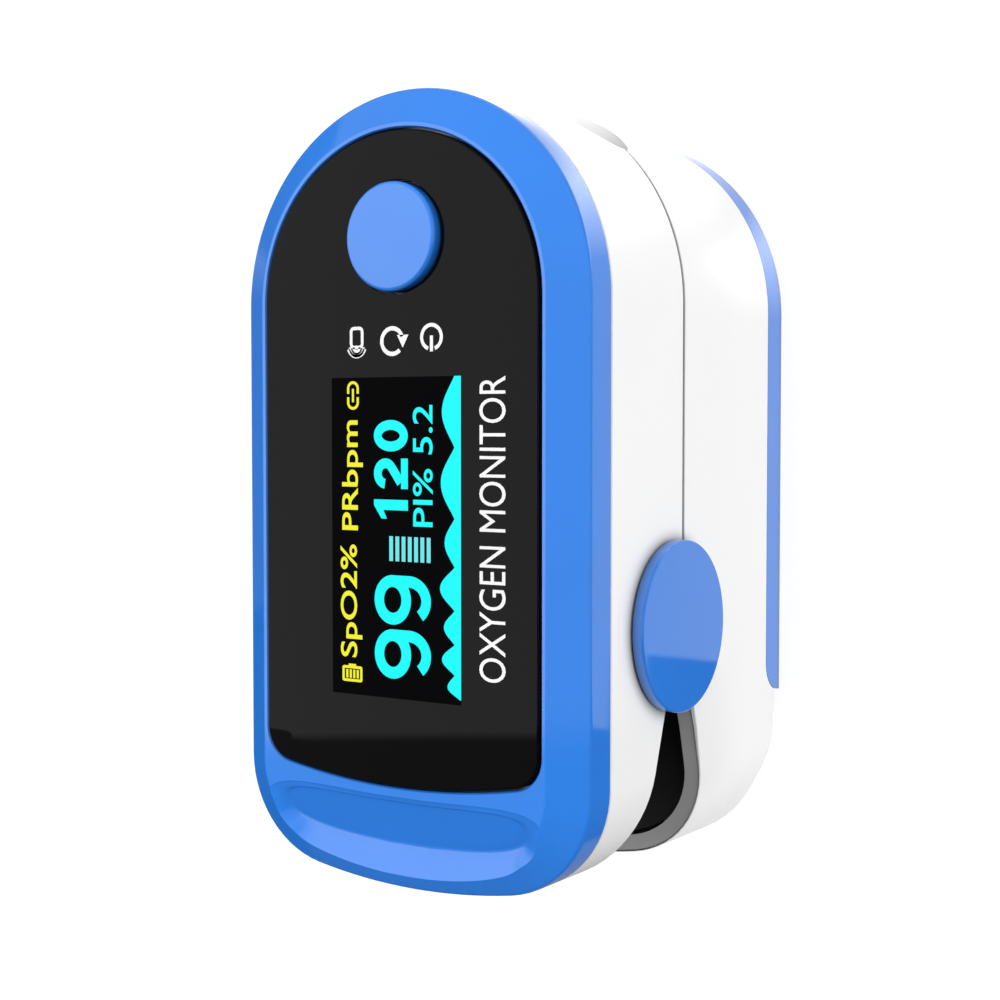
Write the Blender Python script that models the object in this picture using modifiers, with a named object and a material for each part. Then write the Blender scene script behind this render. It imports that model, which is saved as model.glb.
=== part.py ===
"""Fingertip pulse oximeter: a spring clip in two halves that pivot on a shaft near the tail.

The clip lies on its battery cover. +Z points out of the display, -Y out of the finger mouth, +Y to the
tail that is squeezed, and X runs along the hinge shaft. Everything is in metres.
"""

import math

import bmesh
import bpy
from mathutils import Matrix, Vector

MM = 0.001

# Plan outline, shared by both halves: an arch at the mouth, straight sides and a rounded tail.
HALF_WIDTH = 15.0 * MM
ARCH_BULGE = 0.6 * MM
TAIL_REACH = 42.13 * MM
TAIL_RADIUS = 49.0 * MM
CORNER_RADIUS = 7.8 * MM
LENGTH = HALF_WIDTH + ARCH_BULGE + TAIL_REACH
ARCH_Y = HALF_WIDTH + ARCH_BULGE - LENGTH / 2
TAIL_Y = ARCH_Y + TAIL_REACH

# Heights above the surface that the clip lies on.
COVER_TOP = 2.78 * MM
TAIL_FLOOR = 0.7 * MM
LOWER_TOP = 16.92 * MM
PARTING_Z = 17.03 * MM
UPPER_BOTTOM = 17.17 * MM
FRAME_BOTTOM = 27.53 * MM
FRAME_EDGE = 30.23 * MM
FRAME_TOP = 31.83 * MM
WINDOW_TOP = 31.93 * MM
BUTTON_TOP = 32.78 * MM
SEAM = 0.05 * MM

# The halves part towards the tail, so that it can be squeezed.
UPPER_CUT_Y = ARCH_Y + 22.1 * MM
UPPER_CUT_SLOPE = math.tan(math.radians(18.7))
LOWER_CUT_Y = ARCH_Y + 23.6 * MM
LOWER_CUT_SLOPE = math.tan(math.radians(15.9))
LOWER_BEND_Y = ARCH_Y + 31.4 * MM
LOWER_BEND_SLOPE = math.tan(math.radians(10.3))

# Walls.
WALL = 1.05 * MM
LIP = 0.5 * MM
RIM_WIDTH = 1.28 * MM
FRAME_WALL = 1.6 * MM
THROAT_ARCH = 12.2 * MM

# Hinge.
HINGE_Y = ARCH_Y + 23.22 * MM
HINGE_Z = 18.73 * MM
SHAFT_RADIUS = 1.0 * MM
SHAFT_CLEARANCE = 0.06 * MM
EAR_RADIUS = 2.4 * MM
CAP_RADIUS = 6.23 * MM
CAP_FACE_X = 16.1 * MM
SPRING_X = (-6.5 * MM, 6.5 * MM)
SPRING_HALF_WIDTH = 1.14 * MM

# Finger channel: an ellipse across X, taller above the parting plane than below it.
CHANNEL_HALF_WIDTH = 9.95 * MM
CHANNEL_RISE = 6.35 * MM
CHANNEL_DROP = 4.35 * MM
PAD_THICKNESS = 1.25 * MM
STOP_Y = 5.2 * MM
STOP_BACK_Y = 6.2 * MM
SENSOR_Y = -8.0 * MM

# Display window, screen and button.
WINDOW_HALF_WIDTH = 11.9 * MM
WINDOW_TAIL_Y = ARCH_Y + 34.39 * MM
WINDOW_TAIL_RADIUS = 54.0 * MM
WINDOW_CORNER = 2.3 * MM
WINDOW_BACK = 30.73 * MM
BUTTON_Y = ARCH_Y - 4.42 * MM
BUTTON_RADIUS = 3.84 * MM
SCREEN_LOW = Vector((-8.3 * MM, -9.3 * MM, 29.15 * MM))
SCREEN_HIGH = Vector((8.3 * MM, 17.4 * MM, 30.6 * MM))
BOARD_BOTTOM = 26.0 * MM
BOARD_TOP = 27.0 * MM
SHELF_Z = 25.9 * MM
SCREW_X = 9.3 * MM
SCREW_Y = 19.6 * MM

# Battery bay.
BATTERY_RADIUS = 5.25 * MM
BATTERY_X = 5.45 * MM
BATTERY_Z = 6.75 * MM
BATTERY_LENGTH = 44.5 * MM
MOUTH_CONTACT_Y = -22.2 * MM
TAIL_CONTACT_Y = 24.85 * MM
TRAY_BOTTOM = 12.08 * MM
TRAY_TOP = 12.6 * MM
COVER_END_Y = ARCH_Y + 30.1 * MM
COVER_CORNER = 2.4 * MM
FLOOR_WALL = 0.65 * MM
LOWER_SCREW_X = 3.5 * MM
LOWER_SCREW_Y = -25.0 * MM

FAR = 40 * MM
ASIDE = 20 * MM

ARCH_STEPS = 20
CORNER_STEPS = 5
TAIL_STEPS = 4
ROUND_STEPS = 24

BLUE = (0.055, 0.27, 0.86)
WHITE = (0.90, 0.90, 0.90)
BLACK = (0.012, 0.012, 0.013)
GREY = (0.25, 0.25, 0.25)


# ---------------------------------------------------------------- collections, materials, placing

def clear_scene():
    for obj in list(bpy.data.objects):
        bpy.data.objects.remove(obj, do_unlink=True)


def make_collection(name):
    collection = bpy.data.collections.new(name)
    bpy.context.scene.collection.children.link(collection)
    return collection


clear_scene()
PARTS = make_collection("pulse_oximeter")
CUTTERS = make_collection("cutters")


def material(name, colour, roughness=0.4, metallic=0.0):
    made = bpy.data.materials.new(name)
    made.use_nodes = True
    shader = made.node_tree.nodes["Principled BSDF"]
    shader.inputs["Base Color"].default_value = (*colour, 1.0)
    shader.inputs["Roughness"].default_value = roughness
    shader.inputs["Metallic"].default_value = metallic
    made.diffuse_color = (*colour, 1.0)
    return made


def new_object(name, bm):
    """A part from a bmesh, with its normals facing out."""
    bmesh.ops.recalc_face_normals(bm, faces=bm.faces)
    mesh = bpy.data.meshes.new(name)
    bm.to_mesh(mesh)
    bm.free()
    obj = bpy.data.objects.new(name, mesh)
    PARTS.objects.link(obj)
    return obj


def as_cutter(obj):
    PARTS.objects.unlink(obj)
    CUTTERS.objects.link(obj)
    obj.hide_render = True
    obj.display_type = "WIRE"
    return obj


def boolean(obj, other, operation="DIFFERENCE"):
    modifier = obj.modifiers.new(other.name, "BOOLEAN")
    modifier.operation = operation
    modifier.solver = "EXACT"
    modifier.object = as_cutter(other)


def cut(obj, *others):
    for other in others:
        boolean(obj, other)


def join(obj, *others):
    for other in others:
        boolean(obj, other, "UNION")


def finish(obj, look, smooth=True):
    obj.data.materials.append(look)
    if smooth:
        obj.data.shade_smooth()
        obj.data.set_sharp_from_angle(angle=math.radians(35))
    return obj


def hang(parent, *children):
    """Parent each child without moving it."""
    for child in children:
        child.parent = parent
        child.matrix_parent_inverse = Matrix.Translation(-parent.location)


# ---------------------------------------------------------------- outlines and heights

def corner_centre(half_width, tail_y, tail_radius, corner):
    x = half_width - corner
    reach = tail_radius - corner
    return x, tail_y - tail_radius + math.sqrt(reach * reach - x * x)


def plan(half_width=HALF_WIDTH, arch=HALF_WIDTH, tail_y=TAIL_Y, tail_radius=TAIL_RADIUS,
         corner=CORNER_RADIUS, stops=(UPPER_CUT_Y, LOWER_CUT_Y, LOWER_BEND_Y)):
    """A plan outline, anticlockwise from the arch's -X end: pairs of a point and its inward direction."""
    pairs = []

    def add(centre, across, along, angle):
        turn = Vector((math.cos(angle), math.sin(angle)))
        pairs.append((Vector(centre) + Vector((across * turn.x, along * turn.y)), -turn))

    for step in range(ARCH_STEPS + 1):
        add((0, ARCH_Y), half_width, arch, math.pi * (1 + step / ARCH_STEPS))
    x, y = corner_centre(half_width, tail_y, tail_radius, corner)
    sides = [stop for stop in stops if stop < y]
    for stop in sides:
        pairs.append((Vector((half_width, stop)), Vector((-1, 0))))
    meet = math.atan2(y - (tail_y - tail_radius), x)
    for step in range(CORNER_STEPS + 1):
        add((x, y), corner, corner, meet * step / CORNER_STEPS)
    for step in range(1, TAIL_STEPS):
        angle = meet + (math.pi - 2 * meet) * step / TAIL_STEPS
        add((0, tail_y - tail_radius), tail_radius, tail_radius, angle)
    for step in range(CORNER_STEPS + 1):
        add((-x, y), corner, corner, math.pi - meet * (1 - step / CORNER_STEPS))
    for stop in reversed(sides):
        pairs.append((Vector((-half_width, stop)), Vector((1, 0))))
    return pairs


def window_plan():
    return plan(WINDOW_HALF_WIDTH, WINDOW_HALF_WIDTH, WINDOW_TAIL_Y, WINDOW_TAIL_RADIUS, WINDOW_CORNER, ())


def ring(pairs, height, inset=0.0):
    """The outline at a height, moved inwards by the inset; each may be a number or a function of y."""
    points = []
    for point, inward in pairs:
        move = inset(point.y) if callable(inset) else inset
        at = point + inward * move
        points.append(Vector((at.x, at.y, height(at.y) if callable(height) else height)))
    return points


def upper_edge(y):
    """The display half's lower edge."""
    return UPPER_BOTTOM + max(0.0, y - UPPER_CUT_Y) * UPPER_CUT_SLOPE


def lower_edge(y):
    """The battery half's upper edge."""
    first = max(0.0, min(y, LOWER_BEND_Y) - LOWER_CUT_Y) * LOWER_CUT_SLOPE
    return LOWER_TOP - first - max(0.0, y - LOWER_BEND_Y) * LOWER_BEND_SLOPE


def tail_round(y):
    """The radius of the battery half's bottom edge: small along the sides, large round the tail."""
    t = min(1.0, max(0.0, (y - 17 * MM) / (6 * MM)))
    return 0.6 * MM + 3.9 * MM * t * t * (3 - 2 * t)


def inner_round(y):
    """The same round on the inside of the wall."""
    return max(0.05 * MM, tail_round(y) - FLOOR_WALL)


# ---------------------------------------------------------------- shapes

def close_end(bm, loop):
    """Close an outline with strips from side to side, which stay flat where its height changes along Y."""
    count, apex = len(loop), ARCH_STEPS // 2
    for step in range(count // 2):
        right, next_right = loop[(apex + step) % count], loop[(apex + step + 1) % count]
        left, next_left = loop[apex - step], loop[apex - step - 1]
        corners = [right, next_right, next_left, left]
        bm.faces.new(list(dict.fromkeys(corners)))


def loft(name, rings):
    """A solid through a stack of plan outlines, closed at both ends."""
    bm = bmesh.new()
    loops = [[bm.verts.new(point) for point in points] for points in rings]
    for below, above in zip(loops, loops[1:]):
        for i in range(len(below)):
            j = (i + 1) % len(below)
            bm.faces.new((below[i], below[j], above[j], above[i]))
    close_end(bm, loops[0])
    close_end(bm, loops[-1])
    return new_object(name, bm)


def box(name, low, high):
    low, high = Vector(low), Vector(high)
    bm = bmesh.new()
    bmesh.ops.create_cube(bm, size=1.0)
    size = high - low
    bmesh.ops.scale(bm, vec=size, verts=bm.verts)
    obj = new_object(name, bm)
    obj.location = (low + high) / 2
    return obj


def rod(name, start, end, radius, steps=ROUND_STEPS):
    """A cylinder from one point to another."""
    start, end = Vector(start), Vector(end)
    along = end - start
    bm = bmesh.new()
    bmesh.ops.create_cone(bm, cap_ends=True, segments=steps, radius1=radius, radius2=radius,
                          depth=along.length)
    obj = new_object(name, bm)
    obj.data.transform(along.to_track_quat("Z", "Y").to_matrix().to_4x4())
    obj.location = (start + end) / 2
    return obj


def turned(name, profile, location, axis=(0, 0, 1), steps=ROUND_STEPS):
    """A body turned round its own Z, which is then laid along an axis. The profile runs top to bottom."""
    mesh = bpy.data.meshes.new(name)
    points = [(radius, 0.0, height) for radius, height in profile]
    mesh.from_pydata(points, [(i, i + 1) for i in range(len(points) - 1)], [])
    obj = bpy.data.objects.new(name, mesh)
    PARTS.objects.link(obj)
    screw = obj.modifiers.new("turn", "SCREW")
    screw.steps = steps
    screw.render_steps = steps
    screw.use_merge_vertices = True
    screw.merge_threshold = 0.000001
    obj.location = location
    obj.rotation_euler = Vector(axis).to_track_quat("Z", "Y").to_euler()
    return obj


def prism(name, profile, half_length):
    """A side profile in Y and Z, drawn out along X both ways."""
    bm = bmesh.new()
    face = bm.faces.new([bm.verts.new((-half_length, y, z)) for y, z in profile])
    drawn = bmesh.ops.extrude_face_region(bm, geom=[face])
    moved = [item for item in drawn["geom"] if isinstance(item, bmesh.types.BMVert)]
    bmesh.ops.translate(bm, vec=(2 * half_length, 0, 0), verts=moved)
    return new_object(name, bm)


def oval(name, rise, half_width, start_y, end_y, steps=32):
    """An elliptical rod along Y, centred on the parting plane."""
    obj = rod(name, (0, start_y, 0), (0, end_y, 0), 1.0, steps)
    middle = obj.location.copy()
    obj.data.transform(Matrix.Diagonal((half_width, 1.0, rise, 1.0)))
    obj.location = (0, middle.y, PARTING_Z)
    return obj


def tube(name, points, radius):
    """A wire through points."""
    curve = bpy.data.curves.new(name, "CURVE")
    curve.dimensions = "3D"
    curve.bevel_depth = radius
    curve.bevel_resolution = 2
    curve.use_fill_caps = True
    spline = curve.splines.new("POLY")
    spline.points.add(len(points) - 1)
    for target, point in zip(spline.points, points):
        target.co = (*point, 1.0)
    obj = bpy.data.objects.new(name, curve)
    PARTS.objects.link(obj)
    return obj


def strip(name, path, x, width, thickness):
    """A flat ribbon that follows a path in Y and Z."""
    bm = bmesh.new()
    left = [bm.verts.new((x - width / 2, y, z)) for y, z in path]
    right = [bm.verts.new((x + width / 2, y, z)) for y, z in path]
    for i in range(len(path) - 1):
        bm.faces.new((left[i], right[i], right[i + 1], left[i + 1]))
    obj = new_object(name, bm)
    solidify = obj.modifiers.new("thickness", "SOLIDIFY")
    solidify.thickness = thickness
    solidify.offset = 0.0
    return obj


def arc(centre, radius, start, end, steps):
    """Points on an arc in a plane, with its angles in degrees."""
    angles = [math.radians(start + (end - start) * i / steps) for i in range(steps + 1)]
    return [(centre[0] + radius * math.cos(a), centre[1] + radius * math.sin(a)) for a in angles]


# ---------------------------------------------------------------- display half

def chin_scoop():
    """The dished thumb recess in the frame's chin, shallower at its rim than at its floor."""
    deep = plan(10.3 * MM, 8.0 * MM, ARCH_Y + 38.95 * MM, 47.0 * MM, 3.6 * MM, ())
    wide = plan(12.1 * MM, 8.0 * MM, ARCH_Y + 40.85 * MM, 49.0 * MM, 5.0 * MM, ())
    floor, rim = FRAME_TOP - 1.1 * MM, FRAME_TOP + 0.05 * MM
    scoop = loft("chin_scoop", [ring(deep, floor), ring(wide, rim), ring(wide, rim + 2 * MM)])
    ahead = box("scoop_limit", (-ASIDE, ARCH_Y - FAR, 20 * MM), (ASIDE, 19.9 * MM, FAR))
    window = window_plan()
    ledge = loft("scoop_ledge", [ring(window, 20 * MM, -0.5 * MM), ring(window, FAR, -0.5 * MM)])
    cut(scoop, ahead, ledge)
    return scoop


def front_frame():
    """The blue bezel: a flat ledge round the window, a sloping ring and an upright band."""
    outline = plan(stops=())
    frame = loft("front_frame", [
        ring(outline, FRAME_BOTTOM + SEAM),
        ring(outline, FRAME_EDGE),
        ring(outline, FRAME_TOP, 2.6 * MM),
    ])
    rebate_floor = WINDOW_BACK - SEAM
    pocket = loft("frame_pocket", [ring(outline, 27 * MM, FRAME_WALL), ring(outline, 29.4 * MM, FRAME_WALL)])
    rebate = loft("window_rebate", [
        ring(window_plan(), rebate_floor, -0.12 * MM),
        ring(window_plan(), 33 * MM, -0.12 * MM),
    ])
    window = window_plan()
    opening = loft("window_opening", [ring(window, 29 * MM, 1.1 * MM), ring(window, 31 * MM, 1.1 * MM)])
    cut(frame, pocket, rebate, opening, chin_scoop())
    for side in (-1, 1):
        place = (side * SCREW_X, SCREW_Y)
        join(frame, rod(f"boss_{side}", (*place, BOARD_TOP + SEAM), (*place, 29.9 * MM), 1.7 * MM))
        cut(frame, rod(f"boss_hole_{side}", (*place, 26 * MM), (*place, 29.0 * MM), 0.85 * MM, 16))
    return finish(frame, material("blue_frame", BLUE, 0.3))


def display_window():
    window = loft("display_window", [
        ring(window_plan(), WINDOW_BACK),
        ring(window_plan(), WINDOW_TOP - 0.15 * MM),
        ring(window_plan(), WINDOW_TOP, 0.15 * MM),
    ])
    hole_radius = BUTTON_RADIUS + 0.2 * MM
    cut(window, rod("button_hole", (0, BUTTON_Y, 28 * MM), (0, BUTTON_Y, 34 * MM), hole_radius, 40))
    return finish(window, material("window_black", BLACK, 0.1))


def power_button():
    """A cap on a stem, with a flange behind the window that keeps it in."""
    top = BUTTON_TOP
    button = turned("power_button", [
        (0, top), (2.6 * MM, top - 0.05 * MM), (BUTTON_RADIUS - 0.25 * MM, top - 0.18 * MM),
        (BUTTON_RADIUS, top - 0.45 * MM), (BUTTON_RADIUS, 30.35 * MM), (4.7 * MM, 30.35 * MM),
        (4.7 * MM, 29.75 * MM), (1.5 * MM, 29.75 * MM), (1.5 * MM, 28.95 * MM), (0, 28.95 * MM),
    ], (0, BUTTON_Y, 0), steps=40)
    return finish(button, material("blue_button", BLUE, 0.3))


def power_switch():
    body = box("power_switch", (-2.25 * MM, BUTTON_Y - 2.25 * MM, BOARD_TOP + SEAM),
               (2.25 * MM, BUTTON_Y + 2.25 * MM, 28.5 * MM))
    cut(body, rod("plunger_hole", (0, BUTTON_Y, 27.5 * MM), (0, BUTTON_Y, 29 * MM), 1.08 * MM))
    plunger = rod("switch_plunger", (0, BUTTON_Y, 27.95 * MM), (0, BUTTON_Y, 28.9 * MM), SHAFT_RADIUS)
    finish(body, material("switch_body", (0.03, 0.03, 0.03), 0.5))
    finish(plunger, material("switch_plunger", (0.6, 0.6, 0.58), 0.4))
    return body, plunger


def screen():
    panel = box("oled_screen", SCREEN_LOW, SCREEN_HIGH)
    low, high = BOARD_TOP + 0.3 * MM, SCREEN_LOW.z - 0.2 * MM
    middle = (low + high) / 2
    bend = arc((17.6 * MM, middle), (high - low) / 2, 90, -90, 8)
    flex = strip("screen_flex", [(13.5 * MM, high), *bend, (14.0 * MM, low)], 0.0, 8 * MM, 0.15 * MM)
    finish(panel, material("screen_glass", (0.01, 0.01, 0.015), 0.1))
    finish(flex, material("flex_amber", (0.45, 0.2, 0.03), 0.4))
    return panel, flex


def main_board():
    board = loft("main_board", [ring(plan(stops=()), BOARD_BOTTOM, 1.35 * MM),
                                ring(plan(stops=()), BOARD_TOP, 1.35 * MM)])
    for side in (-1, 1):
        place = (side * SCREW_X, SCREW_Y)
        cut(board, rod(f"board_hole_{side}", (*place, 25 * MM), (*place, 28 * MM), 1.15 * MM, 16))
    cut(board, box("ribbon_slot_board", (-2 * MM, 11.6 * MM, 25 * MM), (2 * MM, 13.0 * MM, 28 * MM)))
    return finish(board, material("board_green", (0.02, 0.18, 0.07), 0.4))


def board_chips():
    """The chips on the board's underside, over the tail."""
    under = BOARD_BOTTOM - SEAM
    chip_z = under - 1.0 * MM
    crystal_z = under - 0.85 * MM
    coil_x, coil_y = -9.6 * MM, 15.6 * MM
    controller = box("microcontroller", (-6.5 * MM, 14.6 * MM, chip_z), (0.5 * MM, 21.6 * MM, under))
    amplifier = box("sensor_amplifier", (1.8 * MM, 14.6 * MM, chip_z), (6.2 * MM, 19.0 * MM, under))
    crystal = rod("clock_crystal", (2.0 * MM, 21.0 * MM, crystal_z), (6.5 * MM, 21.0 * MM, crystal_z),
                  0.8 * MM, 16)
    coil = rod("boost_coil", (coil_x, coil_y, under - 1.3 * MM), (coil_x, coil_y, under), 1.9 * MM)
    chip = material("chip_black", (0.02, 0.02, 0.022), 0.5)
    finish(controller, chip)
    finish(amplifier, chip)
    finish(crystal, material("crystal_can", (0.6, 0.6, 0.62), 0.3, 1.0))
    finish(coil, material("coil_ferrite", (0.05, 0.05, 0.05), 0.7))
    return controller, amplifier, crystal, coil


def mouth_cutter(name, rise, half_width=10.1 * MM):
    return oval(name, rise, half_width, -FAR, ARCH_Y - 8 * MM)


def upper_shell():
    """The white shell of the display half: a wall all round, thick at the mouth, with a board shelf."""
    shell = loft("upper_shell", [
        ring(plan(arch=HALF_WIDTH + ARCH_BULGE), upper_edge),
        ring(plan(arch=HALF_WIDTH + 0.4 * MM), 24.6 * MM),
        ring(plan(), FRAME_BOTTOM),
    ])
    throat = plan(arch=THROAT_ARCH)
    inside = loft("upper_cavity", [ring(throat, 10 * MM, WALL), ring(throat, FAR, WALL)])
    shelf = loft("board_shelf", [ring(plan(stops=()), SHELF_Z, WALL), ring(plan(stops=()), FAR, WALL)])
    cut(shell, inside, shelf, mouth_cutter("upper_mouth", 5.9 * MM),
        rod("upper_hinge_notch", (-ASIDE, HINGE_Y, HINGE_Z), (ASIDE, HINGE_Y, HINGE_Z), 3.0 * MM))
    return finish(shell, material("white_upper", WHITE, 0.35))


def upper_liner():
    """The black chassis of the display half: channel roof, hinge bay, two ears and the tail plate."""
    inner = plan(arch=THROAT_ARCH)
    gap = WALL + 0.12 * MM
    wall = gap + 1.0 * MM
    liner = loft("upper_liner", [
        ring(inner, lambda y: upper_edge(y) + 0.25 * MM, gap), ring(inner, 25.85 * MM, gap),
    ])
    behind = box("behind_bay", (-ASIDE, 14.4 * MM, 0), (ASIDE, FAR, FAR))
    tail_pocket = loft("tail_pocket", [
        ring(inner, lambda y: upper_edge(y) + 1.25 * MM, wall), ring(inner, FAR, wall),
    ])
    boolean(tail_pocket, behind, "INTERSECT")
    bay_top = box("bay_top", (-12.6 * MM, STOP_BACK_Y, 23.4 * MM), (12.6 * MM, 15 * MM, FAR))
    front_pocket = loft("front_pocket", [ring(inner, 18.3 * MM, wall), ring(inner, FAR, wall)])
    cut(front_pocket, box("bay_back", (-ASIDE, STOP_Y, 0), (ASIDE, FAR, FAR)),
        oval("channel_skin", CHANNEL_RISE + 1.0 * MM, CHANNEL_HALF_WIDTH + 1.0 * MM, -FAR, 20 * MM))
    bay = box("hinge_bay", (-ASIDE, STOP_BACK_Y, 10 * MM), (ASIDE, 13.5 * MM, 22.4 * MM))
    cut(liner, tail_pocket, bay_top, front_pocket,
        oval("upper_channel", CHANNEL_RISE, CHANNEL_HALF_WIDTH, -FAR, STOP_Y), bay,
        box("emitter_opening", (-3 * MM, SENSOR_Y - 3 * MM, 20 * MM), (3 * MM, SENSOR_Y + 3 * MM, 26 * MM)),
        box("ribbon_slot", (-2 * MM, 11.6 * MM, 20 * MM), (2 * MM, 13.0 * MM, 26 * MM)))
    for spring_x in SPRING_X:
        arm_x = spring_x - SPRING_HALF_WIDTH
        cut(liner, box(f"arm_slot_{spring_x:.4f}", (arm_x - 0.5 * MM, 13.0 * MM, 17 * MM),
                       (arm_x + 0.5 * MM, 18.2 * MM, 21.2 * MM)))
    for side in (-1, 1):
        add_ear(liner, f"upper_ear_{side}", side * 9.6 * MM, side * 11.0 * MM, 23.0 * MM)
        place = (side * SCREW_X, SCREW_Y)
        join(liner, rod(f"liner_boss_{side}", (*place, 21.5 * MM), (*place, BOARD_BOTTOM - SEAM), 1.7 * MM))
        cut(liner, rod(f"liner_hole_{side}", (*place, 15 * MM), (*place, 27 * MM), 1.0 * MM, 16),
            rod(f"head_recess_{side}", (*place, 15 * MM), (*place, 21.9 * MM), 1.75 * MM, 16))
    cut(liner, rod("upper_shaft_hole", (-ASIDE, HINGE_Y, HINGE_Z), (ASIDE, HINGE_Y, HINGE_Z),
                   SHAFT_RADIUS + SHAFT_CLEARANCE))
    return finish(liner, material("liner_black", BLACK, 0.5))


def add_ear(obj, name, x_from, x_to, root_z):
    """A round-ended hinge ear, from the shaft to the piece that it stands on."""
    low, high = min(x_from, x_to), max(x_from, x_to)
    bottom, top = min(HINGE_Z, root_z), max(HINGE_Z, root_z)
    ear = box(name, (low, HINGE_Y - EAR_RADIUS, bottom), (high, HINGE_Y + EAR_RADIUS, top))
    join(ear, rod(f"{name}_end", (low, HINGE_Y, HINGE_Z), (high, HINGE_Y, HINGE_Z), EAR_RADIUS))
    join(obj, ear)


def finger_pad(name, rise, low_z, high_z):
    """Half of the soft sleeve round the finger: an elliptical trough cut off at two heights."""
    gap = 0.1 * MM
    pad = oval(name, rise - gap, CHANNEL_HALF_WIDTH - gap, -24.2 * MM, STOP_Y - 0.2 * MM)
    cut(pad, oval(f"{name}_hollow", rise - gap - PAD_THICKNESS, CHANNEL_HALF_WIDTH - gap - PAD_THICKNESS,
                  -30 * MM, 10 * MM))
    throat = plan(arch=THROAT_ARCH)
    inset = WALL + 0.15 * MM
    boolean(pad, loft(f"{name}_half", [ring(throat, low_z, inset), ring(throat, high_z, inset)]), "INTERSECT")
    return pad


def upper_sensor():
    """The pad over the fingernail, with the emitter in it."""
    pad = finger_pad("upper_finger_pad", CHANNEL_RISE, UPPER_BOTTOM + 0.15 * MM, FAR)
    cut(pad, rod("emitter_hole", (0, SENSOR_Y, 19 * MM), (0, SENSOR_Y, 26 * MM), 2.45 * MM))
    lens_back = -24.35 * MM
    lens = turned("emitter_lens", [
        (0, -21.7 * MM), (1.3 * MM, -21.85 * MM), (2.3 * MM, -22.5 * MM),
        (2.3 * MM, lens_back), (0, lens_back),
    ], (0, SENSOR_Y, 0), (0, 0, -1))
    half = 4 * MM
    board = box("emitter_board", (-half, SENSOR_Y - half, 24.45 * MM), (half, SENSOR_Y + half, 25.05 * MM))
    finish(pad, material("pad_upper", (0.09, 0.10, 0.11), 0.7))
    finish(lens, material("lens_clear", (0.75, 0.72, 0.70), 0.1))
    finish(board, material("sensor_board", (0.02, 0.16, 0.07), 0.4))
    return pad, lens, board


def screw(name, x, y, head_z, length, head_radius=1.45 * MM):
    """A small pan-head screw that points up."""
    return finish(turned(name, [
        (0, length), (0.5 * MM, length - 0.2 * MM), (0.7 * MM, length - 0.8 * MM), (0.7 * MM, 0.9 * MM),
        (head_radius, 0.9 * MM), (head_radius, 0.3 * MM), (head_radius - 0.35 * MM, 0), (0, 0),
    ], (x, y, head_z), steps=16), material(name, (0.55, 0.55, 0.56), 0.3, 1.0))


# ---------------------------------------------------------------- battery half

def cover_profile(end_y, top_z):
    """The battery cover's side view: its tail corner is rounded."""
    corner = arc((end_y - COVER_CORNER, top_z - COVER_CORNER), COVER_CORNER, 0, 90, 6)
    return [(-FAR, -5 * MM), (end_y, -5 * MM), *corner, (-FAR, top_z)]


def lower_shell():
    """The white shell of the battery half, with a large round under its tail."""
    base = plan()
    rings = []
    for step in range(5):
        angle = math.radians(90 - 22.5 * step)
        rings.append(ring(base, lambda y, a=angle: TAIL_FLOOR + tail_round(y) * (1 - math.sin(a)),
                          lambda y, a=angle: tail_round(y) * (1 - math.cos(a))))
    rings.append(ring(base, 6 * MM))
    rings.append(ring(plan(arch=HALF_WIDTH + 0.4 * MM), 10 * MM))
    rings.append(ring(plan(arch=HALF_WIDTH + ARCH_BULGE), lower_edge))
    shell = loft("lower_shell", rings)
    bay_rings = []
    for step in range(4):
        angle = math.radians(90 - 30 * step)
        rise, turn = 1 - math.sin(angle), 1 - math.cos(angle)
        bay_rings.append(ring(base, lambda y, share=rise: TAIL_FLOOR + FLOOR_WALL + inner_round(y) * share,
                              lambda y, share=turn: WALL + inner_round(y) * share))
    bay = loft("battery_bay", [*bay_rings, ring(base, 12.65 * MM, WALL)])
    throat = plan(arch=THROAT_ARCH)
    top = loft("liner_seat", [ring(throat, 12.4 * MM, WALL), ring(throat, FAR, WALL)])
    rebate = loft("liner_rebate", [
        ring(throat, lambda y: lower_edge(y) - 1.05 * MM, LIP), ring(throat, FAR, LIP),
    ])
    cover_room = prism("cover_room", cover_profile(COVER_END_Y + SEAM, COVER_TOP + SEAM), ASIDE)
    cut(shell, bay, top, rebate, cover_room, mouth_cutter("lower_mouth", 3.3 * MM),
        rod("lower_hinge_notch", (-ASIDE, HINGE_Y, HINGE_Z), (ASIDE, HINGE_Y, HINGE_Z), 3.0 * MM))
    for side in (-1, 1):
        place = (side * LOWER_SCREW_X, LOWER_SCREW_Y)
        cut(shell, rod(f"shell_hole_{side}", (*place, 12 * MM), (*place, 13.6 * MM), 0.8 * MM, 16))
    return finish(shell, material("white_lower", WHITE, 0.35))


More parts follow.
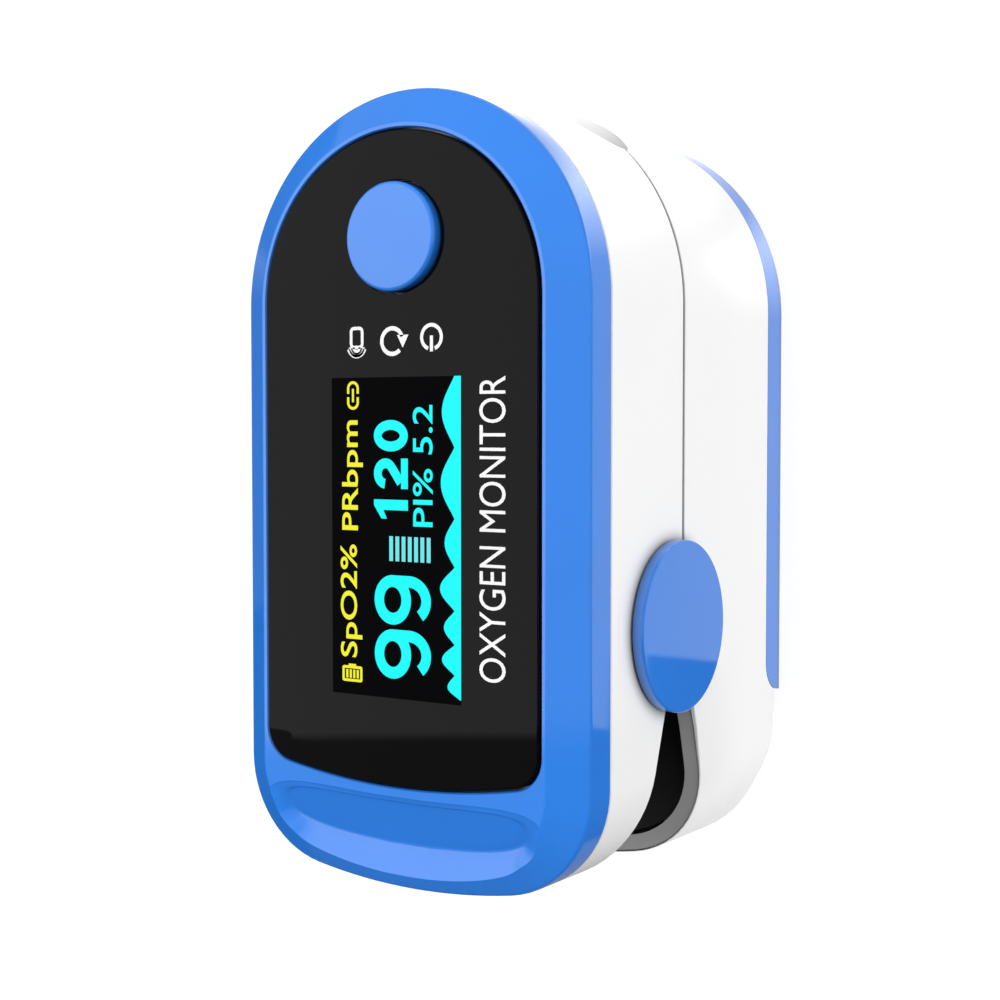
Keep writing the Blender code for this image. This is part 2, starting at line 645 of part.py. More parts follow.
def lower_liner():
    """The grey chassis of the battery half: the rim seen in the gap, the channel's sides and two ears."""
    inner = plan(arch=THROAT_ARCH)
    flange, gap, clear = LIP + 0.06 * MM, WALL + 0.06 * MM, LIP + RIM_WIDTH
    recess = 0.12 * MM
    liner = loft("lower_liner", [
        ring(inner, TRAY_TOP + SEAM, gap),
        ring(inner, lambda y: lower_edge(y) - 0.95 * MM, gap),
        ring(inner, lambda y: lower_edge(y) - 0.95 * MM, flange),
        ring(inner, lambda y: lower_edge(y) - recess, flange),
    ])
    tail_opening = loft("tail_opening", [ring(inner, 10 * MM, clear), ring(inner, FAR, clear)])
    cut(tail_opening, box("ahead_of_tail", (-ASIDE, -FAR, 0), (ASIDE, STOP_BACK_Y, FAR)))
    deck_inset = gap + 1.0 * MM
    under = loft("deck_pocket", [ring(inner, 10 * MM, deck_inset), ring(inner, 15.8 * MM, deck_inset)])
    cut(under, box("behind_stop", (-ASIDE, STOP_Y, 0), (ASIDE, FAR, FAR)),
        oval("channel_sides", CHANNEL_DROP + 1.0 * MM, CHANNEL_HALF_WIDTH + 1.0 * MM, -FAR, 20 * MM))
    cut(liner, tail_opening, under, oval("lower_channel", CHANNEL_DROP, CHANNEL_HALF_WIDTH, -FAR, STOP_Y),
        rod("cap_boss_room", (-ASIDE, HINGE_Y, HINGE_Z), (ASIDE, HINGE_Y, HINGE_Z), 2.9 * MM),
        box("channel_floor", (-5 * MM, -FAR, 10 * MM), (5 * MM, STOP_Y - 0.5 * MM, 14 * MM)),
        box("ribbon_gate", (-2 * MM, 0, 10 * MM), (2 * MM, 10 * MM, 13.4 * MM)))
    for side in (-1, 1):
        add_ear(liner, f"lower_ear_{side}", side * 11.5 * MM, side * 13.6 * MM, 13.0 * MM)
    cut(liner, rod("lower_shaft_hole", (-ASIDE, HINGE_Y, HINGE_Z), (ASIDE, HINGE_Y, HINGE_Z),
                   SHAFT_RADIUS + SHAFT_CLEARANCE))
    return finish(liner, material("liner_grey", GREY, 0.5))


def battery_tray():
    """The black ceiling over the batteries, with an end wall behind each set of contacts."""
    gap = WALL + 0.12 * MM
    tray = loft("battery_tray", [ring(plan(), TRAY_BOTTOM, gap), ring(plan(), TRAY_TOP, gap)])
    join(tray, box("mouth_wall", (-8.8 * MM, -23.2 * MM, 3.4 * MM), (8.8 * MM, -22.6 * MM, 12.3 * MM)),
         box("tail_wall", (-8.8 * MM, 25.2 * MM, 3.8 * MM), (8.8 * MM, 25.8 * MM, 12.3 * MM)))
    for side in (-1, 1):
        place = (side * LOWER_SCREW_X, LOWER_SCREW_Y)
        cut(tray, rod(f"tray_hole_{side}", (*place, 10 * MM), (*place, 14 * MM), 0.9 * MM, 16))
    return finish(tray, material("tray_black", BLACK, 0.5))


def lower_sensor():
    """The pad under the fingertip, with the detector in it."""
    pad = finger_pad("lower_finger_pad", CHANNEL_DROP, 0.0, LOWER_TOP - 0.15 * MM)
    recess_low, recess_high = SENSOR_Y - 3.2 * MM, SENSOR_Y + 3.2 * MM
    cut(pad, rod("detector_hole", (0, SENSOR_Y, 10 * MM), (0, SENSOR_Y, 16 * MM), 2.45 * MM),
        box("detector_recess", (-4.2 * MM, recess_low, 10 * MM), (4.2 * MM, recess_high, 13.2 * MM)),
        box("ribbon_groove", (-1.8 * MM, SENSOR_Y, 10 * MM), (1.8 * MM, 10 * MM, 13.15 * MM)))
    lens_back = 13.12 * MM
    lens = turned("detector_lens", [
        (0, 14.2 * MM), (1.3 * MM, 14.1 * MM), (2.3 * MM, 13.7 * MM), (2.3 * MM, lens_back), (0, lens_back),
    ], (0, SENSOR_Y, 0))
    board_low, board_high = SENSOR_Y - 3 * MM, SENSOR_Y + 3 * MM
    board = box("detector_board", (-4 * MM, board_low, 12.67 * MM), (4 * MM, board_high, 13.07 * MM))
    finish(pad, material("pad_lower", (0.09, 0.10, 0.11), 0.7))
    finish(lens, material("detector_clear", (0.55, 0.50, 0.48), 0.1))
    finish(board, material("detector_green", (0.02, 0.16, 0.07), 0.4))
    return pad, lens, board


def link_ribbon():
    """The flat cable from the detector board, past the hinge shaft, to the main board."""
    low_z, bend = 12.85 * MM, 2.6 * MM
    upright_y = 12.3 * MM
    path = [
        (SENSOR_Y + 3.2 * MM, low_z), (STOP_BACK_Y, low_z),
        *arc((STOP_BACK_Y + bend, low_z + bend), bend, -90, -60, 2)[1:],
        (11.3 * MM, 15.2 * MM), (12.1 * MM, 16.8 * MM),
        (upright_y, 18.7 * MM), (upright_y, 21.5 * MM), (upright_y, 27.4 * MM),
    ]
    ribbon = strip("link_ribbon", path, 0.0, 3.0 * MM, 0.15 * MM)
    return finish(ribbon, material("ribbon_grey", (0.35, 0.35, 0.36), 0.5))


def battery(name, x, nub_y, along):
    """A size AAA cell; its nub touches a contact and points to the tail (1) or to the mouth (-1)."""
    length = BATTERY_LENGTH
    shoulder = length - 0.8 * MM
    nub, crimp, foot = 1.9 * MM, 0.4 * MM, 0.3 * MM
    profile = [
        (0, length), (nub, length), (nub, shoulder), (BATTERY_RADIUS - crimp, shoulder),
        (BATTERY_RADIUS, shoulder - crimp), (BATTERY_RADIUS, foot), (BATTERY_RADIUS - foot, 0), (0, 0),
    ]
    cell = turned(name, profile, (x, nub_y - along * length, BATTERY_Z), (0, along, 0), 32)
    return finish(cell, material(name, (0.03, 0.12, 0.10), 0.3, 0.6))


def contact_coil(name, x, wide_y, narrow_y):
    """A conical contact spring along Y."""
    turns, per_turn = 3, 12
    count = turns * per_turn
    points = []
    for i in range(count + 1):
        t = i / count
        radius = (3.2 - 1.5 * t) * MM
        angle = 2 * math.pi * turns * t
        along = wide_y + (narrow_y - wide_y) * t
        points.append((x + radius * math.cos(angle), along, BATTERY_Z + radius * math.sin(angle)))
    return tube(name, points, 0.2 * MM)


def battery_contacts():
    """One plate bridges the cells at the mouth; two separate plates take the current off at the tail."""
    steel = material("contact_steel", (0.7, 0.7, 0.68), 0.25, 1.0)
    low_z, high_z = BATTERY_Z - 3.4 * MM, BATTERY_Z + 3.4 * MM
    sheet = 0.25 * MM
    mouth_back, tail_back = MOUTH_CONTACT_Y - sheet, TAIL_CONTACT_Y + sheet
    bridge = box("mouth_bridge_contact", (-8.7 * MM, mouth_back, low_z), (8.7 * MM, MOUTH_CONTACT_Y, high_z))
    plus = box("tail_plus_contact", (-8.7 * MM, TAIL_CONTACT_Y, low_z), (-2.0 * MM, tail_back, high_z))
    minus = box("tail_minus_contact", (2.0 * MM, TAIL_CONTACT_Y, low_z), (8.7 * MM, tail_back, high_z))
    mouth_coil = contact_coil("mouth_contact_spring", -BATTERY_X, MOUTH_CONTACT_Y + 0.25 * MM, -20.05 * MM)
    tail_coil = contact_coil("tail_contact_spring", BATTERY_X, TAIL_CONTACT_Y - 0.25 * MM, 22.75 * MM)
    for piece in (bridge, plus, minus):
        finish(piece, steel)
    for piece in (mouth_coil, tail_coil):
        piece.data.materials.append(steel)
    return bridge, plus, minus, mouth_coil, tail_coil


def battery_cover():
    """The blue back: a plate with a low wall, which slides off past the mouth."""
    base = plan(stops=())
    cover = loft("battery_cover", [ring(base, 0.0, 0.5 * MM), ring(base, 0.15 * MM, 0.15 * MM),
                                   ring(base, 0.5 * MM), ring(base, COVER_TOP + MM)])
    boolean(cover, prism("cover_shape", cover_profile(COVER_END_Y, COVER_TOP), ASIDE), "INTERSECT")
    cut(cover, loft("cover_hollow", [ring(base, 1.1 * MM, 1.2 * MM), ring(base, 9 * MM, 1.2 * MM)]))
    return finish(cover, material("blue_cover", BLUE, 0.3))


# ---------------------------------------------------------------- hinge

def hinge_shaft():
    shaft = rod("hinge_shaft", (-15.2 * MM, HINGE_Y, HINGE_Z), (15.2 * MM, HINGE_Y, HINGE_Z), SHAFT_RADIUS)
    return finish(shaft, material("shaft_steel", (0.6, 0.6, 0.6), 0.25, 1.0))


def hinge_cap(name, side):
    """A blue disc over the end of the shaft, with a boss that goes in through the shells' notch."""
    seat = HALF_WIDTH + 0.12 * MM
    bore = SHAFT_RADIUS + SHAFT_CLEARANCE
    cap = turned(name, [
        (0, CAP_FACE_X), (4.2 * MM, CAP_FACE_X - 0.08 * MM), (CAP_RADIUS - 0.3 * MM, CAP_FACE_X - 0.25 * MM),
        (CAP_RADIUS, CAP_FACE_X - 0.5 * MM), (CAP_RADIUS, seat), (2.75 * MM, seat), (2.75 * MM, 13.8 * MM),
        (bore, 13.8 * MM), (bore, 15.3 * MM), (0, 15.3 * MM),
    ], (0, HINGE_Y, HINGE_Z), (side, 0, 0), 40)
    return finish(cap, material(name, BLUE, 0.3))


def torsion_spring(name, x):
    """A coil round the shaft, with an arm against each half that holds the tail apart."""
    radius, wire, arm, per_turn = 1.9 * MM, 0.3 * MM, 8.9 * MM, 12
    upper_tilt, lower_tilt = math.radians(-3.0), math.radians(-23.6)
    start = upper_tilt + math.radians(90)
    sweep = lower_tilt + math.radians(270) - start + 6 * math.pi
    turns = sweep / (2 * math.pi)
    count = round(turns * per_turn)
    points = []
    for i in range(count + 1):
        angle = start + sweep * i / count
        along = x + SPRING_HALF_WIDTH * (2 * i / count - 1)
        points.append(Vector((along, HINGE_Y + radius * math.cos(angle), HINGE_Z + radius * math.sin(angle))))
    upper_arm = points[0] + arm * Vector((0, math.cos(upper_tilt), math.sin(upper_tilt)))
    lower_arm = points[-1] + arm * Vector((0, math.cos(lower_tilt), math.sin(lower_tilt)))
    coil = tube(name, [upper_arm, *points, lower_arm], wire)
    coil.data.materials.append(material(name, (0.6, 0.6, 0.6), 0.25, 1.0))
    return coil


# ---------------------------------------------------------------- assembly

def build():
    pivot = bpy.data.objects.new("display_half_pivot", None)
    pivot.location = (0, HINGE_Y, HINGE_Z)
    PARTS.objects.link(pivot)
    base = bpy.data.objects.new("battery_half_origin", None)
    PARTS.objects.link(base)

    switch, plunger = power_switch()
    hang(pivot, front_frame(), display_window(), power_button(), switch, plunger, *screen(), main_board(),
         *board_chips(), upper_shell(), upper_liner(), *upper_sensor(),
         screw("left_upper_screw", -SCREW_X, SCREW_Y, 20.95 * MM, 7.5 * MM),
         screw("right_upper_screw", SCREW_X, SCREW_Y, 20.95 * MM, 7.5 * MM))
    hang(base, lower_shell(), lower_liner(), battery_tray(), *lower_sensor(), link_ribbon(),
         battery("left_battery", -BATTERY_X, TAIL_CONTACT_Y - 0.1 * MM, 1),
         battery("right_battery", BATTERY_X, MOUTH_CONTACT_Y + 0.1 * MM, -1),
         *battery_contacts(), battery_cover(),
         screw("left_lower_screw", -LOWER_SCREW_X, LOWER_SCREW_Y, 11.1 * MM, 2.4 * MM),
         screw("right_lower_screw", LOWER_SCREW_X, LOWER_SCREW_Y, 11.1 * MM, 2.4 * MM),
         hinge_shaft(), hinge_cap("left_hinge_cap", -1), hinge_cap("right_hinge_cap", 1),
         torsion_spring("left_torsion_spring", SPRING_X[0]),
         torsion_spring("right_torsion_spring", SPRING_X[1]))


build()
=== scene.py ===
"""The look of a fingertip pulse oximeter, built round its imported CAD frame.

The clip lies on its battery cover: +Z points out of the display, -Y out of the finger mouth, +Y to the
tail that is squeezed, and X runs along the hinge shaft. Everything is in metres.
"""

import math

import bmesh
import bpy
from mathutils import Matrix, Vector


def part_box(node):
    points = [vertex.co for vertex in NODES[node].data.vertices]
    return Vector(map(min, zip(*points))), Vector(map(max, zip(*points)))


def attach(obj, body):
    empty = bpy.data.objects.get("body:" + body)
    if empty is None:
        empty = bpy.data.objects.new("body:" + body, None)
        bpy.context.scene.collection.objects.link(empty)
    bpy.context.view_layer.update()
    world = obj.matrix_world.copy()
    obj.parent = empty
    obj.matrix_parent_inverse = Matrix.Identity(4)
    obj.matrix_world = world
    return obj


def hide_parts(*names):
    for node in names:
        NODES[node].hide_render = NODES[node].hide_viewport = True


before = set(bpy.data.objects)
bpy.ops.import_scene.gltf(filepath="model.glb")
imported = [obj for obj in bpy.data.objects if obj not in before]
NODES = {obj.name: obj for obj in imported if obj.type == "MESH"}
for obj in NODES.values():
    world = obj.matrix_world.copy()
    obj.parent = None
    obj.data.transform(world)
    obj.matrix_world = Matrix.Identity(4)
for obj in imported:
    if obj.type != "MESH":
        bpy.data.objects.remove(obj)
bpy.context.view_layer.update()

MM = 0.001

# ---------------------------------------------------------------- sizes, from the frame and the part

SHELL_LOW, SHELL_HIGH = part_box("upper_shell")
LOWER_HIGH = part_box("lower_shell")[1]
FRAME_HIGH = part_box("front_frame")[1]
WINDOW_LOW, WINDOW_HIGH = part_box("display_window")
BUTTON_LOW, BUTTON_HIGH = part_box("power_button")
COVER_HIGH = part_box("battery_cover")[1]
CAP_LOW, CAP_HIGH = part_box("left_hinge_cap")

HALF_WIDTH = SHELL_HIGH.x
ARCH_BULGE = 0.6 * MM
MIDDLE_BULGE = 0.4 * MM
TAIL_Y = SHELL_HIGH.y
TAIL_REACH = 42.13 * MM
LOWER_TAIL_Y = TAIL_Y + 0.45 * MM
ARCH_Y = TAIL_Y - TAIL_REACH
TAIL_RADIUS = 49.0 * MM
CORNER_RADIUS = 7.8 * MM

COVER_TOP = COVER_HIGH.z
COVER_END_Y = COVER_HIGH.y
COVER_CORNER = 2.4 * MM
TAIL_FLOOR = 0.7 * MM
UPPER_BOTTOM = SHELL_LOW.z
PARTING_Z = UPPER_BOTTOM - 0.14 * MM
LOWER_TOP = LOWER_HIGH.z
FRAME_BOTTOM = SHELL_HIGH.z
FRAME_TOP = FRAME_HIGH.z
FRAME_EDGE = FRAME_TOP - 1.6 * MM
POCKET_TOP = 29.4 * MM
SLOPE_WIDTH = 2.6 * MM
WINDOW_TOP = WINDOW_HIGH.z
SEAM = 0.05 * MM

UPPER_CUT_Y = ARCH_Y + 22.1 * MM
UPPER_CUT_SLOPE = math.tan(math.radians(18.7))
LOWER_CUT_Y = ARCH_Y + 23.6 * MM
LOWER_CUT_SLOPE = math.tan(math.radians(15.9))
LOWER_BEND_Y = ARCH_Y + 31.4 * MM
LOWER_BEND_SLOPE = math.tan(math.radians(10.3))

WALL = 1.05 * MM
LIP = 0.5 * MM
RIM_WIDTH = 1.28 * MM
FLOOR_WALL = 0.65 * MM
THROAT_ARCH = 12.2 * MM
MOUTH_HALF_WIDTH = 10.1 * MM
MOUTH_END_Y = ARCH_Y - 8 * MM
LINER_GAP = 0.06 * MM

HINGE = Vector((0, (CAP_LOW.y + CAP_HIGH.y) / 2, (CAP_LOW.z + CAP_HIGH.z) / 2))
CAP_RADIUS = (CAP_HIGH.y - CAP_LOW.y) / 2
CAP_FACE_X = -CAP_LOW.x
NOTCH_RADIUS = 3.0 * MM
SHAFT_BORE = 1.06 * MM
EAR_RADIUS = 2.4 * MM

CHANNEL_HALF_WIDTH = 9.95 * MM
CHANNEL_RISE = 6.35 * MM
CHANNEL_DROP = 4.35 * MM
PAD_THICKNESS = 1.25 * MM
PAD_GAP = 0.1 * MM
STOP_Y = 5.2 * MM
STOP_BACK_Y = 6.2 * MM
SENSOR_Y = -8.0 * MM

WINDOW_HALF_WIDTH = WINDOW_HIGH.x
WINDOW_TAIL_RADIUS = 54.0 * MM
WINDOW_CORNER = 2.3 * MM
CHIN_TOP_Y = WINDOW_HIGH.y + 0.45 * MM
CHIN_LOW_Y = ARCH_Y + 41.25 * MM
BUTTON_Y = (BUTTON_LOW.y + BUTTON_HIGH.y) / 2
BUTTON_RADIUS = 3.84 * MM
FAR = 40 * MM
ASIDE = 20 * MM
WORK_SCALE = 1000.0
WELD, SLIVER = 0.003, 0.001

ARCH_STEPS = 96
CORNER_STEPS = 14
TAIL_STEPS = 16


# ---------------------------------------------------------------- materials

def new_material(name):
    made = bpy.data.materials.new(name)
    made.use_nodes = True
    return made, made.node_tree, made.node_tree.nodes["Principled BSDF"]


def node(tree, kind, **values):
    """A new node, with the values of its settings or of its input sockets."""
    made = tree.nodes.new(kind)
    for key, value in values.items():
        if hasattr(made, key):
            setattr(made, key, value)
        else:
            made.inputs[key.replace("_", " ")].default_value = value
    return made


def join(source, socket):
    """A link from an output socket to an input socket."""
    socket.id_data.links.new(source, socket)


def own_space(tree):
    """Coordinates in the object's own space."""
    return node(tree, "ShaderNodeTexCoord").outputs["Object"]


def split(tree, vector):
    """The X, Y and Z sockets of a vector."""
    parts = node(tree, "ShaderNodeSeparateXYZ")
    join(vector, parts.inputs["Vector"])
    return parts.outputs


def noise(tree, scale, detail=3.0, stretch=None):
    """A noise in the object's own space, with its scale in waves for each millimetre."""
    source = own_space(tree)
    if stretch:
        mapping = node(tree, "ShaderNodeMapping")
        mapping.inputs["Scale"].default_value = stretch
        join(source, mapping.inputs["Vector"])
        source = mapping.outputs["Vector"]
    made = node(tree, "ShaderNodeTexNoise", Scale=scale / MM, Detail=detail)
    join(source, made.inputs["Vector"])
    return made


def spread(tree, source, low, high, start=0.3, end=0.7):
    """A 0 to 1 value mapped to a range."""
    made = node(tree, "ShaderNodeMapRange")
    made.inputs["From Min"].default_value = start
    made.inputs["From Max"].default_value = end
    made.inputs["To Min"].default_value = low
    made.inputs["To Max"].default_value = high
    join(source, made.inputs["Value"])
    return made.outputs["Result"]


def combine(tree, operation, *values):
    """A Math node on one or two values, each a number or a socket."""
    made = node(tree, "ShaderNodeMath", operation=operation)
    for socket, value in zip(made.inputs, values):
        if isinstance(value, (int, float)):
            socket.default_value = value
        else:
            join(value, socket)
    return made.outputs["Value"]


def multiply(tree, first, *others):
    """The product of sockets."""
    for other in others:
        first = combine(tree, "MULTIPLY", first, other)
    return first


def tint(tree, factor, colour, other):
    """A blend from one colour to another."""
    made = node(tree, "ShaderNodeMix")
    made.data_type = "RGBA"
    made.inputs["A"].default_value = (*colour, 1.0)
    made.inputs["B"].default_value = (*other, 1.0)
    join(factor, made.inputs["Factor"])
    return made.outputs["Result"]


def shade(colour, factor):
    """A colour made darker or lighter."""
    return tuple(min(1.0, c * factor) for c in colour)


def dent(tree, shader, height, strength, depth):
    """Fine relief in a surface."""
    bump = node(tree, "ShaderNodeBump", Strength=strength, Distance=depth)
    join(height, bump.inputs["Height"])
    join(bump.outputs["Normal"], shader.inputs["Normal"])


def roughen(tree, shader, source, low, high):
    """Uneven gloss."""
    join(spread(tree, source, low, high), shader.inputs["Roughness"])


def moulded(name, colour, roughness=0.3, specular=0.5, grain=6.0, depth=0.02, metallic=0.0, stretch=None,
            variation=0.05, coat=0.0, painted_gap_shade=1.0):
    """Moulded plastic or worked metal: slow colour drift, fine grain in the surface and uneven gloss.
    The last argument is painted shade: below 1, ambient occlusion darkens the colour deep in a gap or a
    corner, down to that share of it."""
    made, tree, shader = new_material(name)
    drift = noise(tree, 0.12, 2.0)
    fine = noise(tree, grain, 4.0, stretch)
    mixed = spread(tree, drift.outputs["Fac"], 0.0, 1.0)
    base = tint(tree, mixed, shade(colour, 1 - variation), shade(colour, 1 + variation))
    # Painted shade: ambient occlusion darkens the base colour in gaps and corners.
    if painted_gap_shade < 1:
        gap_occlusion = node(tree, "ShaderNodeAmbientOcclusion", samples=8, Distance=1.2 * MM)
        unshaded_share = spread(tree, gap_occlusion.outputs["AO"], painted_gap_shade, 1.0, 0.45, 0.92)
        darker = node(tree, "ShaderNodeVectorMath", operation="SCALE")
        join(base, darker.inputs[0])
        join(unshaded_share, darker.inputs["Scale"])
        base = darker.outputs["Vector"]
    join(base, shader.inputs["Base Color"])
    roughen(tree, shader, fine.outputs["Fac"], roughness * 0.85, roughness * 1.15)
    dent(tree, shader, fine.outputs["Fac"], 0.35, depth * MM)
    shader.inputs["Metallic"].default_value = metallic
    shader.inputs["Specular IOR Level"].default_value = specular
    shader.inputs["Coat Weight"].default_value = coat
    shader.inputs["Coat Roughness"].default_value = 0.06
    made.diffuse_color = (*colour, 1.0)
    return made


def glowing(name, colour, strength):
    """Lit dots behind glass: a fine dot grid whose cells differ a little in brightness."""
    made, tree, shader = new_material(name)
    cells = node(tree, "ShaderNodeTexVoronoi", Scale=5.5 / MM, Randomness=0.15)
    join(own_space(tree), cells.inputs["Vector"])
    level = spread(tree, cells.outputs["Distance"], strength, strength * 0.93, 0.3, 0.8)
    shader.inputs["Base Color"].default_value = (*shade(colour, 0.05), 1.0)
    shader.inputs["Emission Color"].default_value = (*colour, 1.0)
    shader.inputs["Roughness"].default_value = 0.3
    shader.inputs["Specular IOR Level"].default_value = 0.1
    join(level, shader.inputs["Emission Strength"])
    made.diffuse_color = (*colour, 1.0)
    return made


def banded(name, colour, other, axis, width, roughness=0.4, metallic=0.0, share=(0.45, 0.55)):
    """Parallel stripes across one axis, such as a ribbon's conductors or a board's traces."""
    made, tree, shader = new_material(name)
    wave = node(tree, "ShaderNodeTexWave", wave_type="BANDS", bands_direction=axis, Scale=0.314 / width,
                Distortion=0.0)
    join(own_space(tree), wave.inputs["Vector"])
    line = spread(tree, wave.outputs["Fac"], 0.0, 1.0, *share)
    join(tint(tree, line, colour, other), shader.inputs["Base Color"])
    fine = noise(tree, 5.0)
    roughen(tree, shader, fine.outputs["Fac"], roughness * 0.8, roughness * 1.2)
    dent(tree, shader, line, 0.5, 0.03 * MM)
    shader.inputs["Metallic"].default_value = metallic
    made.diffuse_color = (*colour, 1.0)
    return made


def circuit(name):
    """Green solder mask over blocky copper areas, with tinned dots."""
    made, tree, shader = new_material(name)
    own = own_space(tree)
    brick = node(tree, "ShaderNodeTexBrick", Scale=0.55 / MM, Mortar_Size=0.03,
                 Color1=(0.010, 0.110, 0.045, 1.0), Color2=(0.016, 0.170, 0.070, 1.0),
                 Mortar=(0.030, 0.260, 0.110, 1.0))
    join(own, brick.inputs["Vector"])
    dots = node(tree, "ShaderNodeTexVoronoi", Scale=0.45 / MM, Randomness=0.7)
    join(own, dots.inputs["Vector"])
    pad = spread(tree, dots.outputs["Distance"], 1.0, 0.0, 0.14, 0.17)
    mix = node(tree, "ShaderNodeMix")
    mix.data_type = "RGBA"
    mix.inputs["B"].default_value = (0.72, 0.70, 0.66, 1.0)
    join(pad, mix.inputs["Factor"])
    join(brick.outputs["Color"], mix.inputs["A"])
    join(mix.outputs["Result"], shader.inputs["Base Color"])
    join(pad, shader.inputs["Metallic"])
    fine = noise(tree, 3.0)
    roughen(tree, shader, fine.outputs["Fac"], 0.28, 0.42)
    dent(tree, shader, pad, 0.4, 0.04 * MM)
    return made


def cell_wrap(name, band_from, band_to):
    """A shrink-wrapped cell: dark green sleeve with a copper-coloured band between two places along Y."""
    made, tree, shader = new_material(name)
    along = split(tree, own_space(tree))["Y"]
    blur = 0.1 * MM
    band = multiply(tree, spread(tree, along, 0.0, 1.0, band_from, band_from + blur),
                    spread(tree, along, 1.0, 0.0, band_to, band_to + blur))
    join(tint(tree, band, (0.010, 0.060, 0.045), (0.55, 0.30, 0.09)), shader.inputs["Base Color"])
    fine = noise(tree, 2.5, 3.0, (1, 0.2, 1))
    roughen(tree, shader, fine.outputs["Fac"], 0.22, 0.34)
    dent(tree, shader, fine.outputs["Fac"], 0.3, 0.03 * MM)
    shader.inputs["Metallic"].default_value = 0.3
    return made


BLUE = (0.024, 0.200, 0.72)
# The blue and white plastics carry painted shade in their gaps and corners.
BLUE_GLOSS = moulded("blue_gloss", BLUE, 0.07, 1.0, 2.2, 0.0015, variation=0.02, painted_gap_shade=0.3)
WHITE_GLOSS = moulded("white_gloss", (0.885, 0.885, 0.888), 0.22, 0.5, 2.6, 0.004, variation=0.006,
                      painted_gap_shade=0.45)
WINDOW_TINT = moulded("window_tint", (0.0016, 0.0016, 0.0017), 0.02, 0.145, 1.2, 0.0002, variation=0.03)
SCREEN_DARK = moulded("screen_dark", (0.0006, 0.0006, 0.0010), 0.12, 0.02, 4.0, 0.0006)
INK_WHITE = moulded("ink_white", (0.80, 0.80, 0.80), 0.45, 0.3, 8.0, 0.004)
CYAN = glowing("lit_cyan", (0.010, 0.955, 0.955), 1.0)
PALE_CYAN = glowing("lit_pale_cyan", (0.16, 0.78, 0.80), 1.0)
YELLOW = glowing("lit_yellow", (0.88, 0.86, 0.030), 1.0)
BLACK = moulded("liner_black", (0.010, 0.010, 0.011), 0.42, 0.4, 7.0, 0.03)
GREY = moulded("liner_grey", (0.48, 0.48, 0.48), 0.42, 0.35, 7.0, 0.02)
RUBBER = moulded("pad_rubber", (0.050, 0.053, 0.058), 0.72, 0.3, 9.0, 0.04, variation=0.08)
STEEL = moulded("sheet_steel", (0.62, 0.61, 0.59), 0.28, 0.5, 6.0, 0.01, 1.0, (1, 0.08, 1))
WIRE = moulded("spring_wire", (0.55, 0.55, 0.56), 0.22, 0.5, 8.0, 0.01, 1.0, (0.1, 1, 1))
SCREW = moulded("screw_steel", (0.50, 0.50, 0.52), 0.30, 0.5, 5.0, 0.02, 1.0)
CHIP = moulded("chip_epoxy", (0.018, 0.018, 0.020), 0.55, 0.4, 9.0, 0.02)
FERRITE = moulded("ferrite", (0.045, 0.042, 0.040), 0.75, 0.3, 6.0, 0.05, variation=0.15)
CAN = moulded("crystal_can", (0.62, 0.62, 0.60), 0.25, 0.5, 5.0, 0.01, 1.0, (0.1, 1, 1))
PLUNGER = moulded("plunger_nylon", (0.42, 0.41, 0.37), 0.45, 0.4, 5.0, 0.02)
LENS = moulded("lens_epoxy", (0.36, 0.30, 0.30), 0.08, 0.6, 1.5, 0.004, coat=0.6)
GLASS = moulded("screen_glass", (0.010, 0.010, 0.014), 0.08, 0.5, 1.0, 0.001)
FLEX = banded("flex_amber", (0.40, 0.17, 0.025), (0.60, 0.32, 0.06), "X", 0.4 * MM)
RIBBON = banded("ribbon_lines", (0.30, 0.30, 0.31), (0.55, 0.55, 0.56), "X", 0.3 * MM, 0.5)
BOARD = circuit("board_green")


# ---------------------------------------------------------------- outlines and edges

def corner_centre(half_width, tail_y, tail_radius, corner):
    x = half_width - corner
    reach = tail_radius - corner
    return x, tail_y - tail_radius + math.sqrt(reach * reach - x * x)


def plan(half_width=HALF_WIDTH, arch=HALF_WIDTH, tail_y=TAIL_Y, tail_radius=TAIL_RADIUS,
         corner=CORNER_RADIUS, side_steps=12):
    """A plan outline, anticlockwise from the arch's -X end: pairs of a point and its inward direction."""
    pairs = []

    def add(centre, across, along, angle):
        turn = Vector((math.cos(angle), math.sin(angle)))
        normal = Vector((turn.x * along, turn.y * across)).normalized()
        pairs.append((Vector(centre) + Vector((across * turn.x, along * turn.y)), -normal))

    for step in range(ARCH_STEPS + 1):
        add((0, ARCH_Y), half_width, arch, math.pi * (1 + step / ARCH_STEPS))
    x, y = corner_centre(half_width, tail_y, tail_radius, corner)
    sides = [ARCH_Y + (y - ARCH_Y) * step / side_steps for step in range(1, side_steps)]
    for stop in sides:
        pairs.append((Vector((half_width, stop)), Vector((-1, 0))))
    meet = math.atan2(y - (tail_y - tail_radius), x)
    for step in range(CORNER_STEPS + 1):
        add((x, y), corner, corner, meet * step / CORNER_STEPS)
    for step in range(1, TAIL_STEPS):
        angle = meet + (math.pi - 2 * meet) * step / TAIL_STEPS
        add((0, tail_y - tail_radius), tail_radius, tail_radius, angle)
    for step in range(CORNER_STEPS + 1):
        add((-x, y), corner, corner, math.pi - meet * (1 - step / CORNER_STEPS))
    for stop in reversed(sides):
        pairs.append((Vector((-half_width, stop)), Vector((1, 0))))
    return pairs


def window_plan():
    return plan(WINDOW_HALF_WIDTH, WINDOW_HALF_WIDTH, WINDOW_HIGH.y, WINDOW_TAIL_RADIUS, WINDOW_CORNER)


def ring(pairs, height, inset=0.0):
    """The outline at a height, moved inwards by the inset; each may be a number or a function of y."""
    points = []
    for point, inward in pairs:
        move = inset(point.y) if callable(inset) else inset
        at = point + inward * move
        points.append(Vector((at.x, at.y, height(at.y) if callable(height) else height)))
    return points


def upper_edge(y):
    return UPPER_BOTTOM + max(0.0, y - UPPER_CUT_Y) * UPPER_CUT_SLOPE


